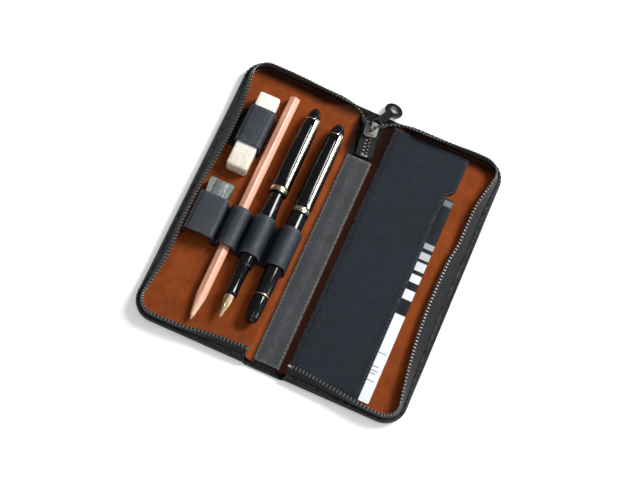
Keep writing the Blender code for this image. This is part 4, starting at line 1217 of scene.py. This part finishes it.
def make_pocket():
    """The leather panel over the ruler: sewn down on three sides, hemmed along its open edge."""
    x0, x1, y0, y1 = PANEL
    piece = Piece("pocket_leather")
    xs = [x0, x0 + 0.15, x0 + 0.5] + spaced(x0 + 1.2, x1 - 1.4, 1.6) + [x1 - 0.5, x1 - 0.15, x1]
    ys = [y0, y0 + 0.15, y0 + 0.5] + spaced(y0 + 1.2, y1 - 1.2, 1.8) + [y1 - 0.5, y1 - 0.15, y1]

    def thickness(x, y):
        edge = min(x - x0, x1 - x, y - y0, y1 - y)
        hem = 0.14 * ease((x - x1 + 3.4) / 0.5)
        return 0.5 * math.sqrt(max(0.0, 1 - (1 - min(edge / 0.5, 1.0)) ** 2)) + hem * (edge > 0.1)

    def across(x, y):
        return lerp(x0, open_edge(y), (x - x0) / (x1 - x0))
    runs = [[(x, y) for x in xs] for y in ys]
    wear = [[1.0 if min(x - x0, x1 - x, y - y0, y1 - y) < 0.6 else 0.12 for x in xs] for y in ys]
    for way in (1, -1):
        face = [[(across(x, y), y, panel_height(x, y) + way * thickness(x, y)) for x in xs] for y in ys]
        piece.grid(face, runs=runs, wear=wear)
    piece.make("pocket_leather_panel", "right_half", sharp=50, merge=0.01, replaces=["pocket_panel"])
    inset = 1.9

    def on_panel(x, y):
        return (x, y, panel_height(x, y) + 0.5), UP
    sew("pocket_stitches", "right_half", [
        (lambda s: on_panel(x0 + inset, s), y0 + 2.5, y1 - 2.5, PANEL_THREAD),
        (lambda s: on_panel(s, y1 - inset), x0 + 2.5, x1 - 1.5, PANEL_THREAD),
        (lambda s: on_panel(s, y0 + inset), x0 + 2.5, x1 - 1.5, PANEL_THREAD),
        (lambda s: on_panel(open_edge(s) - inset, s), y0 + 3.0, y1 - 3.0, PANEL_THREAD)])


# ---------------------------------------------------------------- pens

def make_nib(number, pen):
    """A gold nib with its slit and breather hole, curled round the feed."""
    x, tip, way = pen["x"], pen["tip"], pen["way"]
    piece = Piece("nib_gold")
    outer, inner, hole_at, hole_r = 3.6, 3.2, 0.42, 0.75
    rows = []
    for share in spaced(0, 1, 1 / 22):
        y = tip + way * NIB_LENGTH * (1 - share)
        half_width = 3.15 * (1 - share) ** 0.75 + 0.28
        if share < 0.3:
            half_width = min(half_width, 2.9)
        drop = 2.7 * share ** 1.15
        spread = math.asin(min(half_width / outer, 1.0))
        line = []
        for j in range(-8, 9):
            turn = spread * j / 8
            radius = outer
            if abs(turn) * outer < 0.16 and share > hole_at:
                radius = outer - 0.22
            if math.hypot(turn * outer, (share - hole_at) * NIB_LENGTH) < hole_r:
                radius = outer - 0.3
            line.append((turn, radius))
        line += [(turn, inner) for turn, _ in reversed(line)]
        rows.append([(x + r * math.sin(turn), y, PEN_Z - drop + r * math.cos(turn)) for turn, r in line])
    piece.grid(rows, wrap=True, caps=True)
    ball = counted_from(tip + way * 0.25, [(-0.42, 0.0), (-0.3, 0.3), (0, 0.42), (0.3, 0.3), (0.42, 0.0)])
    turned(piece, ball, x, PEN_Z - 2.7 + 3.4, 12)
    piece.make(f"gold_nib_{number}", f"pen_{number}", sharp=28, replaces=[f"nib_{number}"], slot="gold")


def make_pen_front(number, pen):
    """A pen's nib, its ribbed feed and its waisted grip. Profiles are counted from the nib's tip."""
    x, tip, way = pen["x"], pen["tip"], pen["way"]
    make_nib(number, pen)
    nib_end, rib = NIB_LENGTH + 0.1, 0.6
    profile = [(3.2, 0.0), (3.25, 0.25), (6.0, 0.8), (9.0, 1.5), (NIB_LENGTH - 2.0, 2.4), (NIB_LENGTH - 0.4, 2.6),
               (nib_end, 2.6), (nib_end, 0.0)]
    ribbed = []
    for (a, ra), (b, rb) in zip(profile, profile[1:]):
        for t in spaced(0, 1, rib / max(abs(b - a), rib))[:-1]:
            d = lerp(a, b, t)
            fin = 0.12 if 6.5 < d < 14.5 and int(d / rib) % 2 else 0.0
            ribbed.append((tip + way * d, max(lerp(ra, rb, t) - fin, 0.0)))
    ribbed.append((tip + way * nib_end, 0.0))
    spun(f"ribbed_feed_{number}", f"pen_{number}", "pen_resin", ribbed, x, 28, PEN_Z - 0.3, replaces=[f"feed_{number}"])
    grip = counted_from(NIB_LENGTH + 0.3, [(0, 0.0), (0, 3.5), (0.35, 4.0), (1.2, 4.3), (2.2, 4.22), (5, 3.95),
                                           (8, 3.9), (12, 4.05), (16, 4.25)])
    grip += [(36.2, 4.45), (36.6, 4.5), (37.0, 4.5), (37.0, 0.0)]
    spun(f"grip_{number}", f"pen_{number}", "pen_resin", [(tip + way * d, r) for d, r in grip], x, 48,
         replaces=[f"section_{number}"])


def make_barrels():
    """The barrel of pen 1 with its ring, and the barrel of pen 2 with its tail band and piston knob."""
    pen = PENS["1"]
    x, front = pen["x"], pen["tip"] + BARREL_FROM
    profile = counted_from(front, [(0, 0), (0, 4.95), (1.4, 5.3), (6, 5.42)])
    profile += [(-20, 5.6), (-4, 5.5), (10.6, 4.6), (38, 4.6), (41, 3.6), (42, 1.6), (42, 0)]
    spun("pen_barrel_1", "pen_1", "pen_resin", rounded(profile, 0.5), x, 56, replaces=["barrel_1"], sharp=30)
    ring = counted_from(front, [(0.5, 5.0), (0.45, 5.26), (0.7, 5.36), (1.0, 5.36), (1.2, 5.26), (1.15, 5.0),
                                (0.5, 5.0)])
    spun("barrel_ring_1", "pen_1", "pen_resin", ring, x, 48, slot="gold")
    pen = PENS["2"]
    x, front, shoulder, tail = pen["x"], pen["tip"] - BARREL_FROM, pen["lip"] - 0.3, -56
    profile = [(front, 0), (front, 4.6), (shoulder, 4.6), (shoulder, 5.6), (-20, 5.6), (-40, 5.42), (tail, 5.1),
               (tail, 0)]
    spun("pen_barrel_2", "pen_2", "pen_resin", rounded(profile, 0.35), x, 56, replaces=["barrel_2"], sharp=30)
    band = counted_from(tail, [(-0.3, 0), (-0.3, 5.0), (-0.4, 5.22), (-0.65, 5.28), (-0.95, 5.28), (-1.2, 5.22),
                               (-1.3, 5.0), (-1.3, 0)])
    spun("tail_band_2", "pen_2", "nib_gold", band, x, 48, replaces=["tail_ring_2"], slot="zip_metal")
    knob = counted_from(tail - 1.6, [(0, 0), (0, 5.0), (-6, 4.95), (-12, 4.6)])
    knob += [(-73.4, 4.2), (-75.2, 3.2), (-76.1, 1.7), (-76.3, 0.0)]
    spun("turning_knob_2", "knob_2", "pen_resin", rounded(knob, 0.9, 4), x, 56, replaces=["piston_knob_2"], sharp=30)


def make_clip(number, pen):
    """A tapered spring clip, which swells to a rounded end, on its washer."""
    x, lip = pen["x"], pen["lip"]
    seat = lip + pen["cap"] - 9.9
    piece = Piece("gold")
    washer = [(0, 0), (0, 4.75), (0.12, 4.95), (0.68, 4.95), (0.8, 4.75), (0.8, 0)]
    turned(piece, counted_from(seat, washer), x, PEN_Z, 44)
    centre = Matrix.Translation((x, 0, PEN_Z))
    turn = centre @ Matrix.Rotation(CLIP_ANGLE, 4, "Y") @ centre.inverted()
    tip = lip + 3.6
    # Its middle line as (y, height over the pen's axis, half width, half thickness), from the washer to its end
    spine = counted_from(seat, [(0.4, 3.0, 1.2, 0.35), (0.4, 5.4, 1.5, 0.36), (0.3, 6.4, 1.62, 0.38),
                                (-0.4, 7.05, 1.66, 0.38), (-2.0, 7.2, 1.62, 0.38), (-14, 7.25, 1.45, 0.36)])
    spine.append((lerp(seat, tip, 0.55), 7.2, 1.22, 0.36))
    spine += counted_from(tip, [(9, 7.05, 0.98, 0.36), (5.2, 6.98, 0.95, 0.4), (3.4, 7.02, 1.25, 0.52),
                                (1.8, 7.05, 1.42, 0.58), (0.6, 7.05, 1.0, 0.5), (0.05, 7.05, 0.35, 0.25)])
    rows = []
    for k, (y, r, wide, thick) in enumerate(spine):
        before, after = spine[max(k - 1, 0)], spine[min(k + 1, len(spine) - 1)]
        along = Vector((after[0] - before[0], after[1] - before[1])).normalized()
        out = Vector((along.y, -along.x)) if along.x < 0 else Vector((-along.y, along.x))
        if k < 2:
            out = Vector((1.0, 0.0))
        ring = []
        for a in turns(12):
            across, high = wide * squared(math.cos(a), 0.6), thick * math.sin(a)
            ring.append(turn @ Vector((x + across, y + out.x * high, PEN_Z + r + out.y * high)))
        rows.append(ring)
    piece.grid(rows, wrap=True, caps=True)
    piece.make(f"spring_clip_{number}", f"cap_{number}", sharp=50, replaces=[f"clip_{number}"])


def make_cap(number, pen):
    """A hollow cap with a groove for its three bands, its domed end and its clip."""
    x, lip = pen["x"], pen["lip"]
    end = lip + pen["cap"]
    top = end - 10.2
    outside = counted_from(lip, [(0, 5.1), (0, 6.0), (0.8, 6.05), (0.8, 5.8), (4.4, 5.8), (4.4, 6.2), (20, 6.22),
                                 (38, 6.12)])
    outside += counted_from(top, [(-14, 5.95), (-5, 5.6), (0, 5.05), (0, 0.8)])
    inside = [(top - 7, 0.8), (top - 7.5, 3.6), (lip + 38, 5.1), (lip, 5.1)]
    spun(f"pen_cap_{number}", f"cap_{number}", "pen_resin", rounded(outside, 0.25) + inside, x, 60,
         replaces=[f"cap_{number}"], sharp=30)
    bands = Piece("gold")
    groove, soft = 5.7, 0.12
    for low, high, radius in ((0.95, 1.5, 6.2), (1.85, 3.25, 6.42), (3.6, 4.15, 6.2)):
        band = [(low, groove), (low, radius - 0.1), (low + soft, radius), (high - soft, radius), (high, radius - 0.1),
                (high, groove), (low, groove)]
        turned(bands, counted_from(lip, band), x, PEN_Z, 60)
    bands.make(f"cap_rings_{number}", f"cap_{number}", sharp=30, replaces=[f"cap_band_{number}"])
    dome = counted_from(end - 8.8, [(0, 0), (0, 4.65), (0.2, 4.8), (1.5, 4.66), (3.2, 4.3), (5.0, 3.75), (6.6, 3.05),
                                    (7.8, 2.2)])
    dome += [(end - 0.25, 1.2), (end, 0)]
    spun(f"cap_dome_{number}", f"cap_{number}", "pen_resin", dome, x, 52, replaces=[f"finial_{number}"], sharp=40)
    make_clip(number, pen)


# ---------------------------------------------------------------- pencil, eraser, sharpener, ruler

def make_pencil():
    """A six-sided pencil with softened corners, cut to a cone with the scalloped edge that a sharpener leaves."""
    x, z = PENCIL_X, REST_Z + PENCIL_FLAT
    tip, end = -89.5, 81.5
    wood_from, bore, socket, corner = tip + 3.0, 1.32, 1.3, 3.86
    piece = Piece("pencil_lacquer", "pencil_cut")
    ring = turns(48)

    def hexagon(a):
        fold = (a + math.pi / 6) % (math.pi / 3) - math.pi / 6
        return min(PENCIL_FLAT / math.cos(fold), corner)

    hexes = [hexagon(a + math.pi / 6) for a in ring]
    slope = (PENCIL_R - 1.2) / 17.5
    cuts = [wood_from + (h - 1.35) / slope + 0.05 for h in hexes]

    def row(radii, places):
        return [(x + r * math.sin(a), y, z + r * math.cos(a)) for a, r, y in zip(ring, radii, places)]

    def level(radii, y):
        return row(radii, [y] * len(ring))

    def inset(by):
        return [h - by for h in hexes]

    def circle(radius):
        return [radius] * len(ring)

    lacquer = [row(hexes, cuts)] + [level(hexes, y) for y in spaced(tip + 22.5, end - 0.5, 12.0)]
    piece.grid(lacquer + [level(inset(0.12), end - 0.08)], wrap=True)
    piece.grid([level(inset(0.12), end - 0.08), level(inset(0.4), end), level(circle(socket), end),
                level(circle(socket), end - 1.5)], wrap=True, look=1)
    piece.grid([row([lerp(bore, h, t) for h in hexes], [lerp(wood_from, cut, t) for cut in cuts])
                for t in (0, 0.25, 0.5, 0.75, 0.97, 1.0)], wrap=True, look=1)
    piece.grid([level(circle(bore), wood_from), level(circle(socket), end - 1.5)], wrap=True, look=1)
    piece.make("pencil_case", "pencil", sharp=24, replaces=["pencil_wood"], slot="pencil_wood")
    core = [(end - 0.3, 0), (end - 0.3, 0.85)]
    core += counted_from(tip, [(3.4, 1.05), (3.0, 1.2), (0.5, 0.32), (0.1, 0.14), (0, 0)])
    spun("pencil_core", "pencil", "pencil_lead", core, x, 20, z, replaces=["pencil_lead"])


def make_eraser():
    """A block with crowned faces, soft edges and corners rubbed round at its lower end."""
    y0, length, width, height = 16.3, 57.2, 14.4, 11.0
    box_power = 0.22
    piece = Piece("eraser_vinyl")
    rows = []
    ends = [length - 1.3, length - 0.6, length - 0.18, length]
    for y in [0, 0.15, 0.5, 1.1, 2.0] + spaced(3.5, length - 2.4, 2.4) + ends:
        near = min(y, length - y)
        blunt = 2.0 if y < length / 2 else 1.0
        shrink = 0.0 if near >= blunt else blunt * (1 - math.sqrt(max(0.0, 1 - (1 - near / blunt) ** 2)))
        pinch = 0.25 * math.exp(-((y0 + y - 48.0) / 13.0) ** 4)
        w, h = width / 2 - shrink - pinch * 0.5, height / 2 - shrink * 0.8
        ring = [a + math.pi / 40 for a in turns(40)]
        rows.append([(ERASER_X + w * squared(math.cos(a), box_power), y0 + y,
                      REST_Z + height / 2 + h * squared(math.sin(a), box_power)) for a in ring])
    piece.grid(rows, wrap=True, caps=True)
    piece.make("eraser_soft", "eraser", sharp=60, replaces=["eraser_block"], slot="eraser_vinyl")


def drill(body, cone, look):
    """Cut a finished object with the shape of a piece."""
    mesh = cone.mesh("cutter")
    clean(mesh)
    cutter = bpy.data.objects.new("cutter", mesh)
    bpy.context.scene.collection.objects.link(cutter)
    change = body.modifiers.new("hole", "BOOLEAN")
    change.operation = "DIFFERENCE"
    change.object = cutter
    change.solver = "EXACT"
    bpy.context.view_layer.update()
    body_after = body.evaluated_get(bpy.context.evaluated_depsgraph_get())
    cut = bpy.data.meshes.new_from_object(body_after)
    body.modifiers.clear()
    body.data = cut
    cut.materials.clear()
    cut.materials.append(LOOKS[look])
    bpy.data.objects.remove(cutter)


def make_sharpener():
    """A cast wedge with waisted, ribbed sides, a tapered hole, a ground blade and a slotted screw."""
    x, top_y, width, length = SHARPENER_X, 4.8, 17.0, 26.0
    low_y, top_z, bed, groove = top_y - length, REST_Z + 8.5, 4.85, 0.65
    piece = Piece("sharpener_metal")
    rows = []
    for d in spaced(0, length, groove):
        waist = 0.9 * math.sin(math.pi * min(max((d - 1.5) / (length - 3.0), 0), 1)) ** 2
        rib = 0.22 if int(d / groove) % 2 and 5 < d < length - 2.0 else 0.0
        trim = 0.0 if 0 < d < length else 0.35
        w = width / 2 - waist - trim
        low = [(w - 0.25, REST_Z + 0.1 + trim), (w, REST_Z + 0.6), (w - rib, REST_Z + 1.4)]
        high = [(w - rib, top_z - 1.5), (w, top_z - 0.7), (w - 0.4, top_z - trim), (bed, top_z - trim),
                (bed, top_z - 1.0)]
        right = low + high
        left = [(-a, b) for a, b in reversed(right)]
        row = left[-2:] + right + left[:-2]
        rows.append([(x + a, low_y + d, b) for a, b in row])
    piece.grid(rows, wrap=True, caps=True)
    body = piece.make("sharpener_casting", "sharpener", sharp=25, replaces=["sharpener_body"])
    cone = Piece("sharpener_metal")
    hole = counted_from(top_y, [(1, 0), (1, 3.7), (0, 3.5), (-0.5, 3.3), (-21, 0.8), (-21, 0)])
    turned(cone, hole, x, REST_Z + 4.0, 32)
    drill(body, cone, "sharpener_metal")
    screw_y = low_y + 9
    outline = rectangle(-4.3, low_y + 1.9, 4.3, top_y - 0.6, 0.8)
    blade = plate([outline, arc_points((0, screw_y), 1.1, turns(16))], 0.5, 0.12)
    at = Matrix.Translation((x * MM, 0, (top_z - 0.45) * MM))
    joined("ground_blade", [(blade, at)], "sharpener", "blade_steel", ["sharpener_blade"])
    head = Piece("sharpener_metal")
    rows = []
    for z, r in ((-0.2, 2.15), (0.15, 2.2), (0.45, 2.0), (0.68, 1.4), (0.7, 0.6), (0.7, 0.0)):
        row = []
        for a in turns(28):
            across, along = r * math.cos(a), r * math.sin(a)
            slot = 0.3 if abs(along) < 0.36 and z > 0.3 else 0.0
            row.append((x + across, screw_y + along, top_z + z - slot))
        rows.append(row)
    head.grid(rows, wrap=True)
    head.face(list(range(27, -1, -1)))
    head.make("slotted_screw", "sharpener", replaces=["sharpener_screw"], sharp=30, merge=0.0001)


def make_ruler():
    """A 15 cm rule with a hanging hole at its upper end."""
    outline = rectangle(38.4, -92.0, 68.4, 61.0, 1.0)
    body = plate([outline, arc_points((53.4, 55.5), 2.2, turns(24))], 0.8, 0.2)
    joined("printed_rule", [(body, Matrix.Translation((0, 0, 4.5 * MM)))], "ruler", "ruler_plastic", ["ruler"])


# ---------------------------------------------------------------- the stage

def make_stage():
    """A pale floor, just under the case."""
    mesh = bpy.data.meshes.new("floor")
    reach = 3.0
    corners = [(x * reach, y * reach, 0) for x, y in ((-1, -1), (1, -1), (1, 1), (-1, 1))]
    mesh.from_pydata(corners, [], [(0, 1, 2, 3)])
    mesh.materials.append(floor_look("floor_paper"))
    ground = bpy.data.objects.new("floor", mesh)
    ground.location.z = -0.0002
    bpy.context.scene.collection.objects.link(ground)


def make_light(name, at, size, power):
    """A soft rectangular light, aimed at the middle of the case."""
    data = bpy.data.lights.new(name, "AREA")
    data.shape = "RECTANGLE"
    data.size, data.size_y = size
    data.energy = power
    lamp = bpy.data.objects.new(name, data)
    lamp.location = at
    lamp.rotation_mode = "QUATERNION"
    lamp.rotation_quaternion = (-Vector(at)).to_track_quat("-Z", "Y")
    bpy.context.scene.collection.objects.link(lamp)


def make_camera():
    """The photograph's view, as fitted to the case's outline."""
    turn, height, roll = (math.radians(v) for v in (4.1, 66.0, 20.0))
    distance, look_at = 1.283, Vector((-1.4, -0.6, 0)) * MM
    right = Vector((math.cos(turn), math.sin(turn), 0))
    back = Vector((math.sin(turn) * math.cos(height), -math.cos(turn) * math.cos(height), math.sin(height)))
    up = back.cross(right)
    across = right * math.cos(roll) + up * math.sin(roll)
    upward = up * math.cos(roll) - right * math.sin(roll)
    data = bpy.data.cameras.new("camera")
    data.sensor_width = 36.0
    data.lens = 112.1
    data.clip_start, data.clip_end = 0.01, 50
    camera = bpy.data.objects.new("camera", data)
    camera.matrix_world = Matrix((across, upward, back)).transposed().to_4x4()
    camera.location = look_at + back * distance
    bpy.context.scene.collection.objects.link(camera)
    bpy.context.scene.camera = camera


def make_studio():
    """A key light from the upper right, three weak lights and a dim white surround."""
    make_light("key", (0.7, 0.75, 1.05), (0.55, 0.55), 25.0)
    make_light("fill", (0.1, -0.3, 1.5), (1.0, 1.0), 4.0)
    make_light("side", (1.2, 0.1, 0.45), (0.3, 0.9), 3.0)
    make_light("front", (0.1, -1.3, 0.5), (1.0, 0.4), 3.0)
    world = bpy.data.worlds.new("studio")
    world.use_nodes = True
    colour, strength = world.node_tree.nodes["Background"].inputs[:2]
    colour.default_value = (1, 1, 1, 1)
    strength.default_value = 0.16
    bpy.context.scene.world = world
    bpy.context.scene.view_settings.view_transform = "Standard"


for name, side in SIDES.items():
    make_skin(name, side)
    make_lining(name, side)
    make_wall_zip(name, side)
    make_bridge(name, side)
    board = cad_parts[f"{name}_board"]
    board.data.materials.clear()
    board.data.materials.append(LOOKS["board"])
make_spine_strip()
make_tail()
make_slider()
make_pull()
make_loops()
make_pocket()
for number, pen in PENS.items():
    make_pen_front(number, pen)
    make_cap(number, pen)
make_barrels()
make_pencil()
make_eraser()
make_sharpener()
make_ruler()
make_stage()
make_camera()
make_studio()

bpy.context.view_layer.update()
